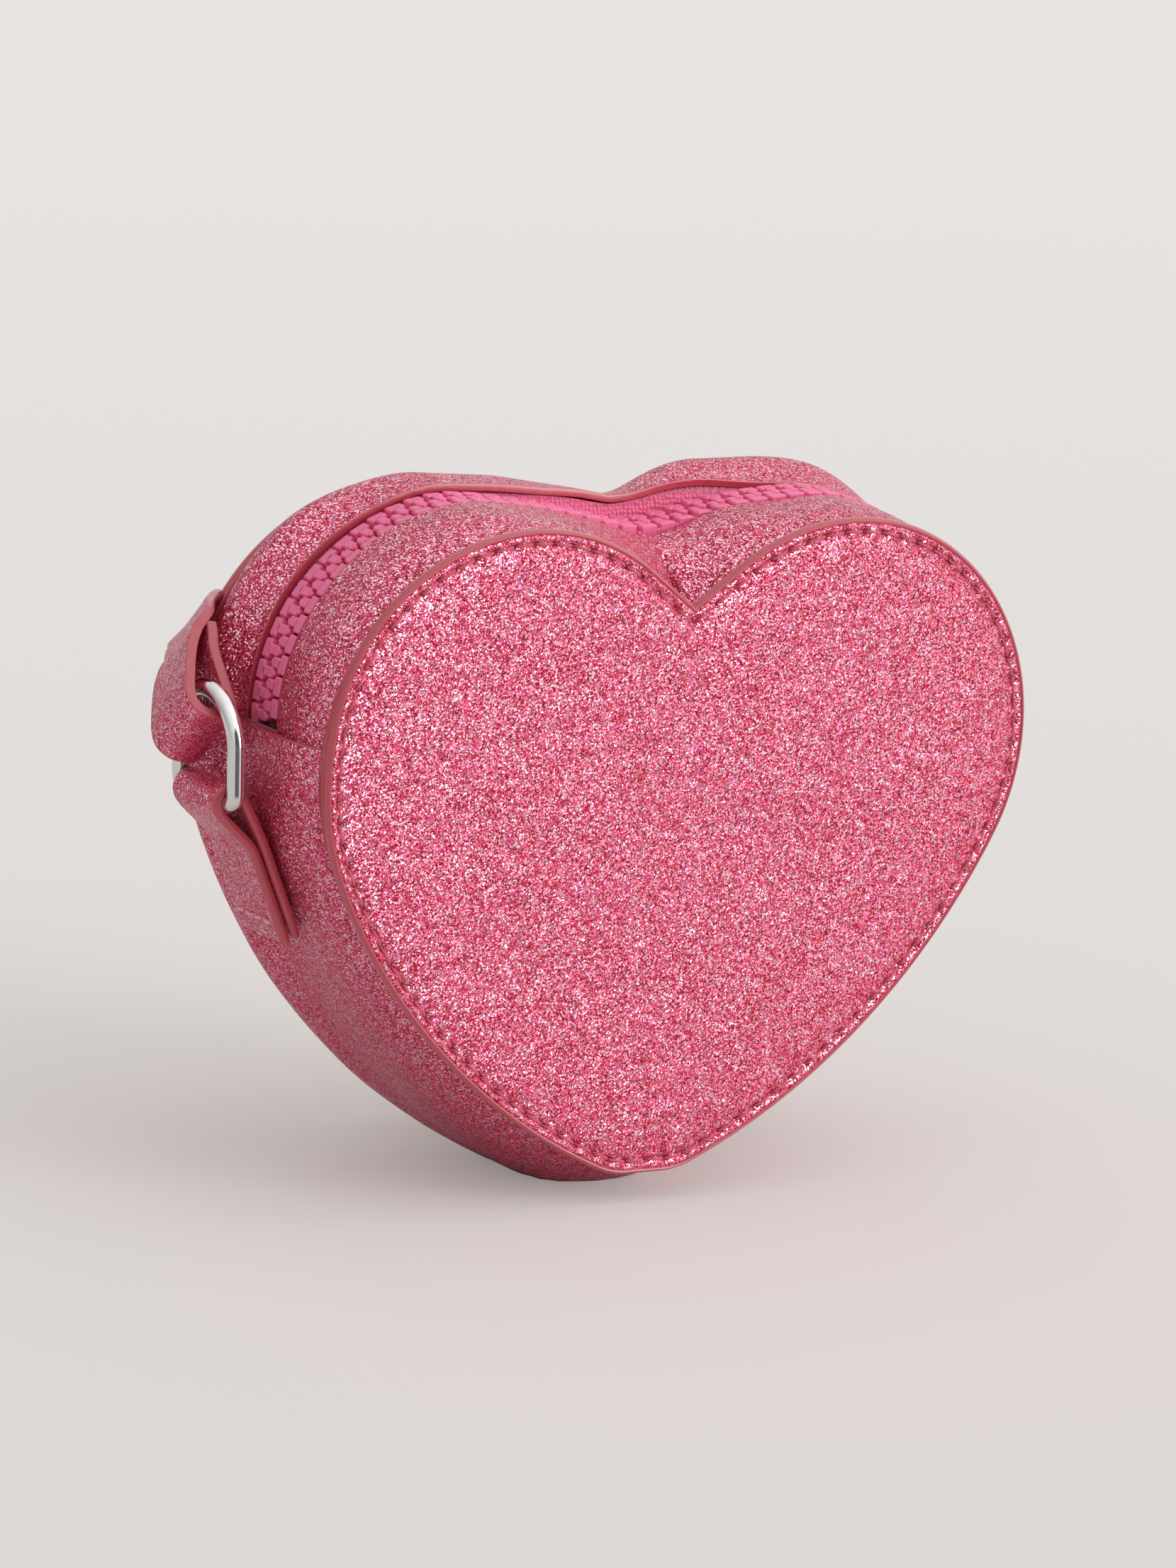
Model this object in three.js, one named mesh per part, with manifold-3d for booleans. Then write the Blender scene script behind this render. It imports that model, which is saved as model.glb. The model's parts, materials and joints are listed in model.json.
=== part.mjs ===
// A small heart-shaped crossbody bag of glitter leather that stands on its rounded tip.
// Two heart panels are sewn to a gusset: two zipped strips over the top, one wide strip below.
// A ring hangs in a tab at each side, and the strap between the rings is rolled up behind.
// Millimetres, +Z up, the front faces -Y, the origin is on the floor under the middle.
import * as THREE from 'three';
import { mergeVertices } from 'three/addons/utils/BufferGeometryUtils.js';
import loadManifold from 'manifold-3d';

const { Vector2, Vector3 } = THREE;
const { lerp, degToRad } = THREE.MathUtils;

// Heart panels
const HALF_WIDTH = 77.5; // middle to the outside of a lobe
const PANEL_HEIGHT = 122.1; // tip to the top of a lobe
const LOBE_RADIUS = 42.65;
const CUSP_SLOPE = 36; // degrees, of the straight edge that drops to the cusp
const SIDE_RADIUS = 125.5;
const TIP_RADIUS = 15.8;
const TIP_FLAT = 4; // half of the straight between the arcs of the tip
const DEPTH = 50.5; // outside of the front panel to the outside of the back one
const LEATHER = 2; // gusset, panels, tabs and strap
const LAYER_GAP = 0.3; // between pieces that lie on each other
const SEAM_LIP = 3.5; // edge of a panel to the root of the gusset

// Gusset
const CROWN_OUT = 3.35; // the zip line's lobe centre, outward of the panel's
const CROWN_UP = 6; // and above it
const CROWN_TIGHTER = 5.65; // the zip line's lobe radius, under the panel's
const VALLEY_SLOPE = 4; // degrees, of the zip line down to its middle
const ZIP_END_RISE = 3.5; // the zip's ends, over the panel's lobe centre
const ZIP_SLOT = 10.4; // between the edges of the two zip strips
const BELLY = 7.5; // the lower gusset past the panels' edges at the tip
const REST_FLAT = 2; // how far the belly is pressed flat where it stands
const CROWN_POWER = 2.4; // how squarely the gusset swells between the panels

// Board and lining
const BOARD = 1;
const BOARD_CLEAR = 1; // edge of a board to the gusset
const LINING = 0.6;
const LINING_CLEAR = 2; // edge of a lining to the gusset

// Zip
const TAPE = 0.6;
const TAPE_EDGE = 1.7; // a tape's inner edge from the zip line
const TOOTH_PITCH = 4.1;
const TOOTH_PROUD = 0.2; // over the gusset's outside
const TOOTH_BACK = 4.3; // a row's outer side from the zip line
const TOOTH_ROOT = 1.5; // where the teeth grow from, from the zip line
const TOOTH_REACH = 1.2; // a tooth's head past the zip line
const TOOTH_ROOT_LENGTH = 2.9;
const TOOTH_HEAD_LENGTH = 0.7;
const BOTTOM_STOP = 2.5;
const TOP_STOP = 2;

// Slider and pull tab
const SLIDER_ANGLE = 28; // degrees up the right lobe
const SLIDER_LENGTH = 11;
const SLIDER_WIDTH = 9.6;
const SLIDER_PLATE = 1;
const SLIDER_CLEARANCE = 0.35;
const POST_LENGTH = 1.6;
const POST_WIDTH = 2.2;
const POST_INSET = 0.5; // from the slider's lower end
const ARCH_LENGTH = 6.4;
const ARCH_PILLAR = 1;
const ARCH_WIDTH = 1.6;
const ARCH_BAR = 0.8;
const PULL_LENGTH = 14; // pivot to the tip
const PULL_WIDTH = 5;
const PULL_THICK = 1.2;
const EYE_WIDTH = 2.6;

// Tabs and rings
const TAB_WIDTH = 15;
const TAB_LAP = 20; // length that lies on the gusset
const TAB_PLACE = 29.5; // middle of that length below the zip's end, along the edge
const TAB_REACH = 10.4; // upper end of that length to the ring's bar
const ROLL_LIFT = 1.3; // the tab's roll clear of the gusset
const RING_WIRE = 3;
const RING_WIDTH = 19; // between the middles of the wire
const RING_HEIGHT = 19.5; // bar to the top of the bow
const RING_CORNER = 2.4;
const RING_LEAN = 4.5; // degrees outward

// Strap
const STRAP_WIDTH = 15;
const STRAP_BEHIND = 1.5; // the rolled strap from the back panel
const LOOP_TILT = 45; // degrees that a strap loop leans back on its ring
const LOOP_FRONT = -0.6; // front edge of a loop from the top of the bow, across the strap
const COIL_X = 20; // middle of the roll, sideways
const COIL_RADIUS = 36; // where the left arm of the roll ends
const COIL_EYE = 10; // where the arms of the roll begin
const COIL_SPACING = 5.6; // between neighbouring turns
const COIL_TAIL = 15; // straight ends of the roll
const TURN_STEPS = 24;

// The loop that is sewn round a ring: outward of the bow's top, and up the leaning strap.
// It begins at the end of the fold, goes down, round under the wire and up again.
const LOOP_PATH = [
  [-5.2, 13.8], [-4.8, 11.8], [-3.8, 8.2], [-3.5, 3.5], [-3.4, -0.1], [-3.1, -3.9], [-1.6, -5.7],
  [0.3, -5.2], [3.3, -2.4], [3.8, 0.9], [2.7, 3.8], [0.1, 7.2], [-1.6, 11], [-2.5, 13.7], [-4.1, 16],
];

// The strap past a loop, in the same two directions, still leaning with the loop
const RUN_START = [[-7.4, 19.1], [-10.1, 20.8]];

// Then round the back panel's edge and behind it to the roll:
// outward, behind the strap's plane, up, and the strap's lean in degrees
const LEFT_ROUTE = [
  [76, -8.8, 105, 45], [71.5, -2.8, 105.8, 30], [65, -0.4, 105.5, 12], [57, 0, 101.2, 0],
  [46, 0, 93.2, 0], [32, 0, 83.9, 0], [18, 0, 77.1, 0], [6, 0, 74, 0],
];
const RIGHT_ROUTE = [
  [76, -8.8, 105, 45], [71.5, -2.8, 105.8, 30], [65.5, -0.4, 105.4, 12], [60.8, 0, 101.6, 0],
  [58.9, 0, 94, 0], [58.8, 0, 80, 0], [58.8, 0, 66, 0],
];

// Colours and surfaces
const GLITTER = { color: '#c23a5e', roughness: 0.45, metalness: 0.15 };
const BOARD_GREY = { color: '#8f8a84', roughness: 0.9, metalness: 0 };
const LINING_PINK = { color: '#c77f93', roughness: 0.85, metalness: 0 };
const TAPE_PINK = { color: '#d8477f', roughness: 0.8, metalness: 0 };
const TEETH_PINK = { color: '#e8427f', roughness: 0.4, metalness: 0 };
const CHROME = { color: '#d5d6d8', roughness: 0.12, metalness: 1 };

const wasm = await loadManifold();
wasm.setup();

// Closed bodies

function between(from, to, count) {
  return Array.from({ length: count + 1 }, (_, index) => lerp(from, to, index / count));
}

// Triangles over a nearly flat section, wound in the order of its points
function capFaces(section) {
  const normal = new Vector3();
  section.forEach((point, index) => {
    normal.add(point.clone().cross(section[(index + 1) % section.length]));
  });
  const flat = new THREE.Quaternion().setFromUnitVectors(normal.normalize(), new Vector3(0, 0, 1));
  const contour = section.map((point) => {
    const turned = point.clone().applyQuaternion(flat);
    return new Vector2(turned.x, turned.y);
  });
  return THREE.ShapeUtils.triangulateShape(contour, []).map(([a, b, c]) => {
    const turn = contour[b].clone().sub(contour[a]).cross(contour[c].clone().sub(contour[a]));
    return turn > 0 ? [a, b, c] : [a, c, b];
  });
}

function facingOut(geometry) {
  const place = geometry.attributes.position;
  const index = geometry.index.array;
  const [a, b, c] = [new Vector3(), new Vector3(), new Vector3()];
  let volume = 0;
  for (let i = 0; i < index.length; i += 3) {
    a.fromBufferAttribute(place, index[i]);
    b.fromBufferAttribute(place, index[i + 1]);
    c.fromBufferAttribute(place, index[i + 2]);
    volume += a.dot(b.cross(c));
  }
  if (volume < 0) {
    index.reverse();
  }
  geometry.computeVertexNormals();
  return geometry;
}

// A body through sections that all have as many points: a ring of them, or a run with two caps
function skin(sections, isRing = false) {
  const around = sections[0].length;
  const faces = [];
  const spans = isRing ? sections.length : sections.length - 1;
  for (let i = 0; i < spans; i += 1) {
    const here = i * around;
    const next = ((i + 1) % sections.length) * around;
    for (let j = 0; j < around; j += 1) {
      const k = (j + 1) % around;
      faces.push(here + j, next + j, next + k);
      faces.push(here + j, next + k, here + k);
    }
  }
  if (!isRing) {
    const last = (sections.length - 1) * around;
    capFaces(sections[0]).forEach((face) => faces.push(...face));
    capFaces(sections.at(-1)).forEach(([a, b, c]) => faces.push(last + a, last + c, last + b));
  }
  const geometry = new THREE.BufferGeometry().setFromPoints(sections.flat());
  geometry.setIndex(faces);
  return facingOut(geometry);
}

function toSolid(geometry) {
  geometry.deleteAttribute('normal');
  geometry.deleteAttribute('uv');
  const merged = mergeVertices(geometry);
  return new wasm.Manifold(new wasm.Mesh({
    numProp: 3,
    vertProperties: merged.attributes.position.array,
    triVerts: Uint32Array.from(merged.index.array),
  }));
}

function united(geometries) {
  const whole = geometries.map(toSolid).reduce((sum, next) => sum.add(next)).getMesh();
  const geometry = new THREE.BufferGeometry();
  geometry.setAttribute('position', new THREE.BufferAttribute(whole.vertProperties, 3));
  geometry.setIndex(new THREE.BufferAttribute(whole.triVerts, 1));
  return facingOut(geometry);
}

function block([x0, x1], [y0, y1], [z0, z1]) {
  const geometry = new THREE.BoxGeometry(x1 - x0, y1 - y0, z1 - z0);
  return geometry.translate((x0 + x1) / 2, (y0 + y1) / 2, (z0 + z1) / 2);
}

// Both faces of a ribbon along a flat path, as one outline
function ribbon(path, thickness) {
  const offsets = path.map((point, index) => {
    const before = path[Math.max(index - 1, 0)];
    const after = path[Math.min(index + 1, path.length - 1)];
    const way = after.clone().sub(before).normalize();
    return new Vector2(-way.y, way.x).multiplyScalar(thickness / 2);
  });
  const one = path.map((point, index) => point.clone().add(offsets[index]));
  const other = path.map((point, index) => point.clone().sub(offsets[index]));
  return [...one, ...other.reverse()];
}

const bag = new THREE.Group();

function addMesh(name, geometry, surface, parent = bag) {
  const mesh = new THREE.Mesh(geometry, new THREE.MeshStandardMaterial(surface));
  mesh.name = name;
  parent.add(mesh);
  return mesh;
}

// Curves of the panels' edge and of the zip line, in the plane of the panels.
// A station runs from 0 at the cusp over 1, where the lobe's arc begins, and 2, the crest, where
// the zip line's arc begins, to 3 at the zip's end. Below that, places are lengths along the edge.

const panelLift = BELLY - REST_FLAT;
const lobe = new Vector2(HALF_WIDTH - LOBE_RADIUS, panelLift + PANEL_HEIGHT - LOBE_RADIUS);
const crown = new Vector2(lobe.x + CROWN_OUT, lobe.y + CROWN_UP);
const crownRadius = LOBE_RADIUS - CROWN_TIGHTER;
const tip = new Vector2(TIP_FLAT, panelLift + TIP_RADIUS);
const flangeFace = DEPTH / 2 - 2 * LEATHER - LAYER_GAP;
const touchAngle = degToRad(90 + CUSP_SLOPE);
const crestAngle = degToRad(90 + VALLEY_SLOPE);
const panelEndAngle = Math.asin(ZIP_END_RISE / LOBE_RADIUS);
const crownEndAngle = Math.asin((ZIP_END_RISE - CROWN_UP) / crownRadius);

function onCircle(centre, radius, angle) {
  return new Vector2(Math.cos(angle), Math.sin(angle)).multiplyScalar(radius).add(centre);
}

// Where the straight that runs into an arc meets the middle of the bag
function atMiddle(touch, slope) {
  return new Vector2(0, touch.y - touch.x * Math.tan(degToRad(slope)));
}

function panelTop(station, inset) {
  const radius = LOBE_RADIUS - inset;
  if (station > 2) {
    return onCircle(lobe, radius, lerp(crestAngle, panelEndAngle, station - 2));
  }
  if (station > 1) {
    return onCircle(lobe, radius, lerp(touchAngle, crestAngle, station - 1));
  }
  const touch = onCircle(lobe, radius, touchAngle);
  return atMiddle(touch, CUSP_SLOPE).lerp(touch, station);
}

const firstShare = panelTop(1, 0).x / onCircle(crown, crownRadius, crestAngle).x;

function zipTop(station, inset) {
  const radius = crownRadius - inset;
  if (station > 2) {
    return onCircle(crown, radius, lerp(crestAngle, crownEndAngle, station - 2));
  }
  const crest = onCircle(crown, radius, crestAngle);
  const share = station > 1 ? lerp(firstShare, 1, station - 1) : firstShare * station;
  return atMiddle(crest, VALLEY_SLOPE).lerp(crest, share);
}

// The centre of the long side arc, which runs into the lobe's arc and the tip's arc
function sideCentre() {
  const toLobe = SIDE_RADIUS - LOBE_RADIUS;
  const toTip = SIDE_RADIUS - TIP_RADIUS;
  const way = tip.clone().sub(lobe);
  const span = way.length();
  const along = (span ** 2 + toLobe ** 2 - toTip ** 2) / (2 * span);
  const across = Math.sqrt(toLobe ** 2 - along ** 2);
  way.divideScalar(span);
  return lobe.clone().addScaledVector(way, along).addScaledVector(new Vector2(way.y, -way.x), across);
}

const side = sideCentre();
const lobeJoint = Math.atan2(lobe.y - side.y, lobe.x - side.x);
const tipJoint = Math.atan2(tip.y - side.y, tip.x - side.x);
const lowerArcs = [
  { centre: lobe, radius: LOBE_RADIUS, from: panelEndAngle, to: lobeJoint, steps: 4 },
  { centre: side, radius: SIDE_RADIUS, from: lobeJoint, to: tipJoint, steps: 7 },
  { centre: tip, radius: TIP_RADIUS, from: tipJoint, to: -Math.PI / 2, steps: 4 },
];
const arcLengths = lowerArcs.map((arc) => arc.radius * (arc.from - arc.to));
const lowerLength = arcLengths.reduce((sum, next) => sum + next) + TIP_FLAT;

// The panel's edge at a length below the zip's end
function panelBottom(length, inset) {
  let left = length;
  for (const [index, arc] of lowerArcs.entries()) {
    if (left <= arcLengths[index]) {
      return onCircle(arc.centre, arc.radius - inset, arc.from - left / arc.radius);
    }
    left -= arcLengths[index];
  }
  return new Vector2(TIP_FLAT - left, panelLift + inset);
}

// The lower gusset starts one layer over the zip strips and swells towards the tip
const endBulge = zipTop(3, 0).x + LEATHER + LAYER_GAP - panelTop(3, 0).x;

function bellyBottom(length, inset) {
  return panelBottom(length, inset - lerp(endBulge, BELLY, length / lowerLength));
}

// Across the gusset, from its root at a panel to its crown, and never under the floor
function acrossGusset(hand, root, top, y, inset) {
  const rise = 1 - Math.min(1, Math.abs(y) / flangeFace) ** CROWN_POWER;
  const point = root.lerp(top, rise);
  return new Vector3(hand * point.x, y, Math.max(point.y, inset));
}

// Points of the upper gusset at a station, which is negative on the left
function upperGusset(station, y, inset) {
  const away = Math.abs(station);
  const root = panelTop(away, SEAM_LIP + inset);
  return acrossGusset(Math.sign(station), root, zipTop(away, inset), y, inset);
}

function upperRim(station, y) {
  const point = panelTop(Math.abs(station), 0);
  return new Vector3(Math.sign(station) * point.x, y, point.y);
}

// Points of the lower gusset at a length from the tip, which is negative on the left
function lowerGusset(along, y, inset) {
  const length = lowerLength - Math.abs(along);
  const root = panelBottom(length, SEAM_LIP + inset);
  return acrossGusset(Math.sign(along), root, bellyBottom(length, inset), y, inset);
}

function lowerRim(along, y) {
  const point = panelBottom(lowerLength - Math.abs(along), 0);
  return new Vector3(Math.sign(along) * point.x, y, point.y);
}

function bothSides(values) {
  const right = values.filter((value) => value > 0);
  const left = right.map((value) => -value).reverse();
  return [...left, 0, ...right];
}

const zipStations = bothSides([...between(0, 1, 3), ...between(1.25, 2, 3), ...between(2.1, 3, 9)]);

// Lengths from the tip to the sections of the lower gusset, closest together on the tip
function lowerPlaces() {
  const places = [lowerLength - LAYER_GAP];
  let end = lowerLength;
  lowerArcs.forEach((arc, index) => {
    end -= arcLengths[index];
    places.push(...between(places.at(-1), end, arc.steps).slice(1));
  });
  return bothSides(places.reverse());
}

// Panels, boards and linings: flat hearts on each other, from the outside in

function heart(inset) {
  const shape = new THREE.Shape();
  const cusp = panelTop(0, inset);
  const touch = panelTop(1, inset);
  const half = Math.PI;
  shape.moveTo(cusp.x, cusp.y);
  shape.lineTo(touch.x, touch.y);
  shape.absarc(lobe.x, lobe.y, LOBE_RADIUS - inset, touchAngle, lobeJoint, true);
  shape.absarc(side.x, side.y, SIDE_RADIUS - inset, lobeJoint, tipJoint, true);
  shape.absarc(tip.x, tip.y, TIP_RADIUS - inset, tipJoint, -half / 2, true);
  shape.absarc(-tip.x, tip.y, TIP_RADIUS - inset, -half / 2, -half - tipJoint, true);
  shape.absarc(-side.x, side.y, SIDE_RADIUS - inset, -half - tipJoint, -half - lobeJoint, true);
  shape.absarc(-lobe.x, lobe.y, LOBE_RADIUS - inset, half - lobeJoint, half - touchAngle, true);
  return shape;
}

function addPlate(name, hand, outside, thickness, inset, surface, curveSegments) {
  const options = { depth: thickness, bevelEnabled: false, curveSegments };
  const geometry = new THREE.ExtrudeGeometry(heart(inset), options).rotateX(Math.PI / 2);
  addMesh(name, geometry, surface).position.y = hand > 0 ? outside : thickness - outside;
}

function addPanels() {
  const root = SEAM_LIP + LEATHER;
  const boardFace = DEPTH / 2 - LEATHER - LAYER_GAP;
  const liningFace = boardFace - BOARD - LAYER_GAP;
  for (const [word, hand] of [['front', -1], ['back', 1]]) {
    addPlate(`${word}_panel`, hand, DEPTH / 2, LEATHER, 0, GLITTER, 9);
    addPlate(`${word}_stiffener`, hand, boardFace, BOARD, root + BOARD_CLEAR, BOARD_GREY, 6);
    addPlate(`lining_${word}`, hand, liningFace, LINING, root + LINING_CLEAR, LINING_PINK, 6);
  }
}

// Gusset: the leather is folded outward at its roots, and the folds lie on the panels

const stripSteps = between(flangeFace, ZIP_SLOT / 2, 4);
const webSteps = between(-flangeFace, flangeFace, 8);

function stripSection(station, hand) {
  const outer = flangeFace + LEATHER;
  return [
    upperRim(station, hand * flangeFace),
    ...stripSteps.map((y) => upperGusset(station, hand * y, 0)),
    ...stripSteps.toReversed().map((y) => upperGusset(station, hand * y, LEATHER)),
    upperGusset(station, hand * outer, LEATHER),
    upperRim(station, hand * outer),
  ];
}

function lowerSection(along) {
  const outer = flangeFace + LEATHER;
  return [
    lowerRim(along, -flangeFace),
    ...webSteps.map((y) => lowerGusset(along, y, 0)),
    lowerRim(along, flangeFace),
    lowerRim(along, outer),
    lowerGusset(along, outer, LEATHER),
    ...webSteps.toReversed().map((y) => lowerGusset(along, y, LEATHER)),
    lowerGusset(along, -outer, LEATHER),
    lowerRim(along, -outer),
  ];
}

function addGussets() {
  for (const [word, hand] of [['front', -1], ['rear', 1]]) {
    const sections = zipStations.map((station) => stripSection(station, hand));
    addMesh(`zip_gusset_${word}`, skin(sections), GLITTER);
  }
  addMesh('lower_gusset', skin(lowerPlaces().map(lowerSection)), GLITTER);
}

function addGussetLining() {
  const outside = LEATHER + LAYER_GAP;
  const steps = webSteps.slice(1, -1);
  const sections = lowerPlaces().map((along) => [
    ...steps.map((y) => lowerGusset(along, y, outside + LINING)),
    ...steps.toReversed().map((y) => lowerGusset(along, y, outside)),
  ]);
  addMesh('lining_gusset', skin(sections), LINING_PINK);
}

// Zip: tapes under the strips, two rows of teeth in mesh, and stops

const tapeTop = LEATHER + LAYER_GAP;
const tapeBottom = tapeTop + TAPE;
const valleyLength = onCircle(crown, crownRadius, crestAngle).x / Math.cos(degToRad(VALLEY_SLOPE));
const zipHalf = valleyLength + crownRadius * (crestAngle - crownEndAngle);
const sliderPlace = valleyLength + crownRadius * (crestAngle - degToRad(SLIDER_ANGLE));

// A point beside the zip line at a length from its middle, negative on the left
function besideZip(length, y, inset) {
  const away = Math.abs(length);
  const angle = crestAngle - Math.max(0, away - valleyLength) / crownRadius;
  const out = new Vector2(Math.cos(angle), Math.sin(angle));
  const point = crown.clone().addScaledVector(out, crownRadius - inset);
  point.addScaledVector(new Vector2(out.y, -out.x), Math.min(0, away - valleyLength));
  return new Vector3(Math.sign(length) * point.x, y, point.y);
}

function addTapes() {
  const steps = [...stripSteps.slice(2), TAPE_EDGE];
  for (const [word, hand] of [['front', -1], ['rear', 1]]) {
    const sections = zipStations.map((station) => [
      ...steps.map((y) => upperGusset(station, hand * y, tapeBottom)),
      ...steps.toReversed().map((y) => upperGusset(station, hand * y, tapeTop)),
    ]);
    addMesh(`zip_tape_${word}`, skin(sections), TAPE_PINK);
  }
}

// A section of a row of teeth, or of a stop, between two distances from the zip line
function zipSection(length, from, to) {
  return [
    besideZip(length, from, -TOOTH_PROUD),
    besideZip(length, to, -TOOTH_PROUD),
    besideZip(length, to, LEATHER),
    besideZip(length, from, LEATHER),
  ];
}

function addTeeth() {
  const start = -zipHalf + 2 * LAYER_GAP + BOTTOM_STOP;
  const postTop = sliderPlace + SLIDER_LENGTH / 2 - POST_INSET - POST_LENGTH;
  const end = postTop - SLIDER_CLEARANCE;
  for (const [word, hand, lead] of [['front', -1, 0.5], ['rear', 1, 1]]) {
    const sections = [zipSection(start, hand * TOOTH_BACK, hand * TOOTH_ROOT)];
    const addSection = (length, inner) => {
      sections.push(zipSection(length, hand * TOOTH_BACK, hand * inner));
    };
    let tooth = start + lead * TOOTH_PITCH;
    while (tooth + TOOTH_ROOT_LENGTH / 2 < end) {
      addSection(tooth - TOOTH_ROOT_LENGTH / 2, TOOTH_ROOT);
      addSection(tooth - TOOTH_HEAD_LENGTH / 2, -TOOTH_REACH);
      addSection(tooth + TOOTH_HEAD_LENGTH / 2, -TOOTH_REACH);
      addSection(tooth + TOOTH_ROOT_LENGTH / 2, TOOTH_ROOT);
      tooth += TOOTH_PITCH;
    }
    addSection(end, TOOTH_ROOT);
    addMesh(`zip_teeth_${word}`, skin(sections), TEETH_PINK);
  }
}

function addStops() {
  const addStop = (name, place, length, from, to) => {
    const sections = [zipSection(place, from, to), zipSection(place + length, from, to)];
    addMesh(name, skin(sections), TEETH_PINK);
  };
  addStop('zip_bottom_stop', -zipHalf + LAYER_GAP, BOTTOM_STOP, -TOOTH_BACK, TOOTH_BACK);
  const top = sliderPlace + SLIDER_LENGTH / 2 + SLIDER_CLEARANCE;
  addStop('zip_top_stop_front', top, TOP_STOP, -TOOTH_BACK, -TOOTH_ROOT);
  addStop('zip_top_stop_rear', top, TOP_STOP, TOOTH_ROOT, TOOTH_BACK);
}

// Slider: turned about the right lobe's centre, so that X points out of the bag and Z up the zip

const sliderTop = crownRadius + TOOTH_PROUD + SLIDER_CLEARANCE + SLIDER_PLATE;
const pullSwing = Math.hypot(PULL_THICK / 2, PULL_THICK / 2);
const pullPivot = sliderTop + SLIDER_CLEARANCE + pullSwing;
const archUnder = pullPivot + pullSwing + SLIDER_CLEARANCE;
const archTop = archUnder + ARCH_BAR;

function sliderBody() {
  const centred = (size) => [-size / 2, size / 2];
  const length = centred(SLIDER_LENGTH);
  const width = centred(SLIDER_WIDTH);
  const tapeInside = Math.sqrt((crownRadius - tapeBottom) ** 2 - (SLIDER_LENGTH / 2) ** 2);
  const lowTop = tapeInside - SLIDER_CLEARANCE;
  const postEnd = length[0] + POST_INSET;
  const pillar = ARCH_LENGTH / 2 - ARCH_PILLAR;
  const stem = sliderTop - SLIDER_PLATE / 2;
  const archWidth = centred(ARCH_WIDTH);
  return united([
    block([sliderTop - SLIDER_PLATE, sliderTop], width, length),
    block([lowTop - SLIDER_PLATE, lowTop], width, length),
    block([lowTop - SLIDER_PLATE / 2, stem], centred(POST_WIDTH), [postEnd, postEnd + POST_LENGTH]),
    block([stem, archTop], archWidth, [pillar, ARCH_LENGTH / 2]),
    block([stem, archTop], archWidth, [-ARCH_LENGTH / 2, -pillar]),
    block([archUnder, archTop], archWidth, centred(ARCH_LENGTH)),
  ]);
}

// The pull tab hangs down the zip from a bar under the arch, and the arch stands in its eye
function pullTab() {
  const half = PULL_WIDTH / 2;
  const eye = EYE_WIDTH / 2;
  const bar = PULL_THICK / 2;
  const eyeEnd = Math.hypot(ARCH_LENGTH / 2, archTop - pullPivot) + SLIDER_CLEARANCE;
  const shape = new THREE.Shape();
  shape.moveTo(-half, bar);
  shape.lineTo(-half, half - PULL_LENGTH);
  shape.absarc(0, half - PULL_LENGTH, half, Math.PI, 2 * Math.PI, false);
  shape.lineTo(half, bar);
  const corners = [[-eye, -bar], [eye, -bar], [eye, -eyeEnd], [-eye, -eyeEnd]];
  shape.holes.push(new THREE.Path(corners.map(([x, y]) => new Vector2(x, y))));
  const options = { depth: PULL_THICK, bevelEnabled: false, curveSegments: 10 };
  const geometry = new THREE.ExtrudeGeometry(shape, options).translate(0, 0, -bar);
  const upright = new THREE.Matrix4();
  upright.makeBasis(new Vector3(0, 1, 0), new Vector3(0, 0, 1), new Vector3(1, 0, 0));
  return geometry.applyMatrix4(upright);
}

function addSlider() {
  const turned = new THREE.Group();
  turned.position.set(crown.x, 0, crown.y);
  turned.rotation.y = -degToRad(SLIDER_ANGLE);
  addMesh('zip_slider', sliderBody(), CHROME, turned);
  addMesh('zip_puller', pullTab(), CHROME, turned).position.x = pullPivot;
  bag.add(turned);
}

// Tabs: a strip lies doubled on the lower gusset, and its fold holds the ring's bar

const tabLow = bellyBottom(TAB_PLACE + TAB_LAP / 2, 0);
const tabHigh = bellyBottom(TAB_PLACE - TAB_LAP / 2, 0);
const tabMiddle = bellyBottom(TAB_PLACE, 0);
const tabUp = tabHigh.clone().sub(tabLow).normalize();
const tabOut = new Vector2(tabUp.y, -tabUp.x);
const barAlong = TAB_LAP / 2 + TAB_REACH;
const barOut = RING_WIRE / 2 + LAYER_GAP + LEATHER + ROLL_LIFT;
const bar = tabMiddle.clone().addScaledVector(tabUp, barAlong).addScaledVector(tabOut, barOut);

// The middle of the tab's strip, as lengths up the gusset and distances from it
function tabPath() {
  const rollRadius = RING_WIRE / 2 + LAYER_GAP + LEATHER / 2;
  const inner = LAYER_GAP + LEATHER / 2;
  const outer = inner + LEATHER + LAYER_GAP;
  const tangent = (height, turn) => {
    const way = new Vector2(TAB_REACH, barOut - height);
    return way.angle() + turn * Math.asin(rollRadius / way.length());
  };
  const centre = new Vector2(barAlong, barOut);
  const halfTurn = (value) => (value > Math.PI ? value - 2 * Math.PI : value);
  const first = halfTurn(tangent(inner, -1)) - Math.PI / 2;
  const last = halfTurn(tangent(outer, 1)) + Math.PI / 2;
  return [
    new Vector2(-TAB_LAP / 2, inner),
    new Vector2(TAB_LAP / 2, inner),
    ...between(first, last, 12).map((angle) => onCircle(centre, rollRadius, angle)),
    new Vector2(TAB_LAP / 2, outer),
    new Vector2(-TAB_LAP / 2, outer),
  ];
}

function addTabs() {
  const outline = ribbon(tabPath(), LEATHER);
  for (const [word, hand] of [['left', -1], ['right', 1]]) {
    const sections = [-TAB_WIDTH / 2, TAB_WIDTH / 2].map((y) => outline.map((point) => {
      const place = tabMiddle.clone().addScaledVector(tabUp, point.x).addScaledVector(tabOut, point.y);
      return new Vector3(hand * place.x, y, place.y);
    }));
    addMesh(`anchor_tab_${word}`, skin(sections), GLITTER);
  }
}

// Rings: round wire along a D, with the bar at the bottom

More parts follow.
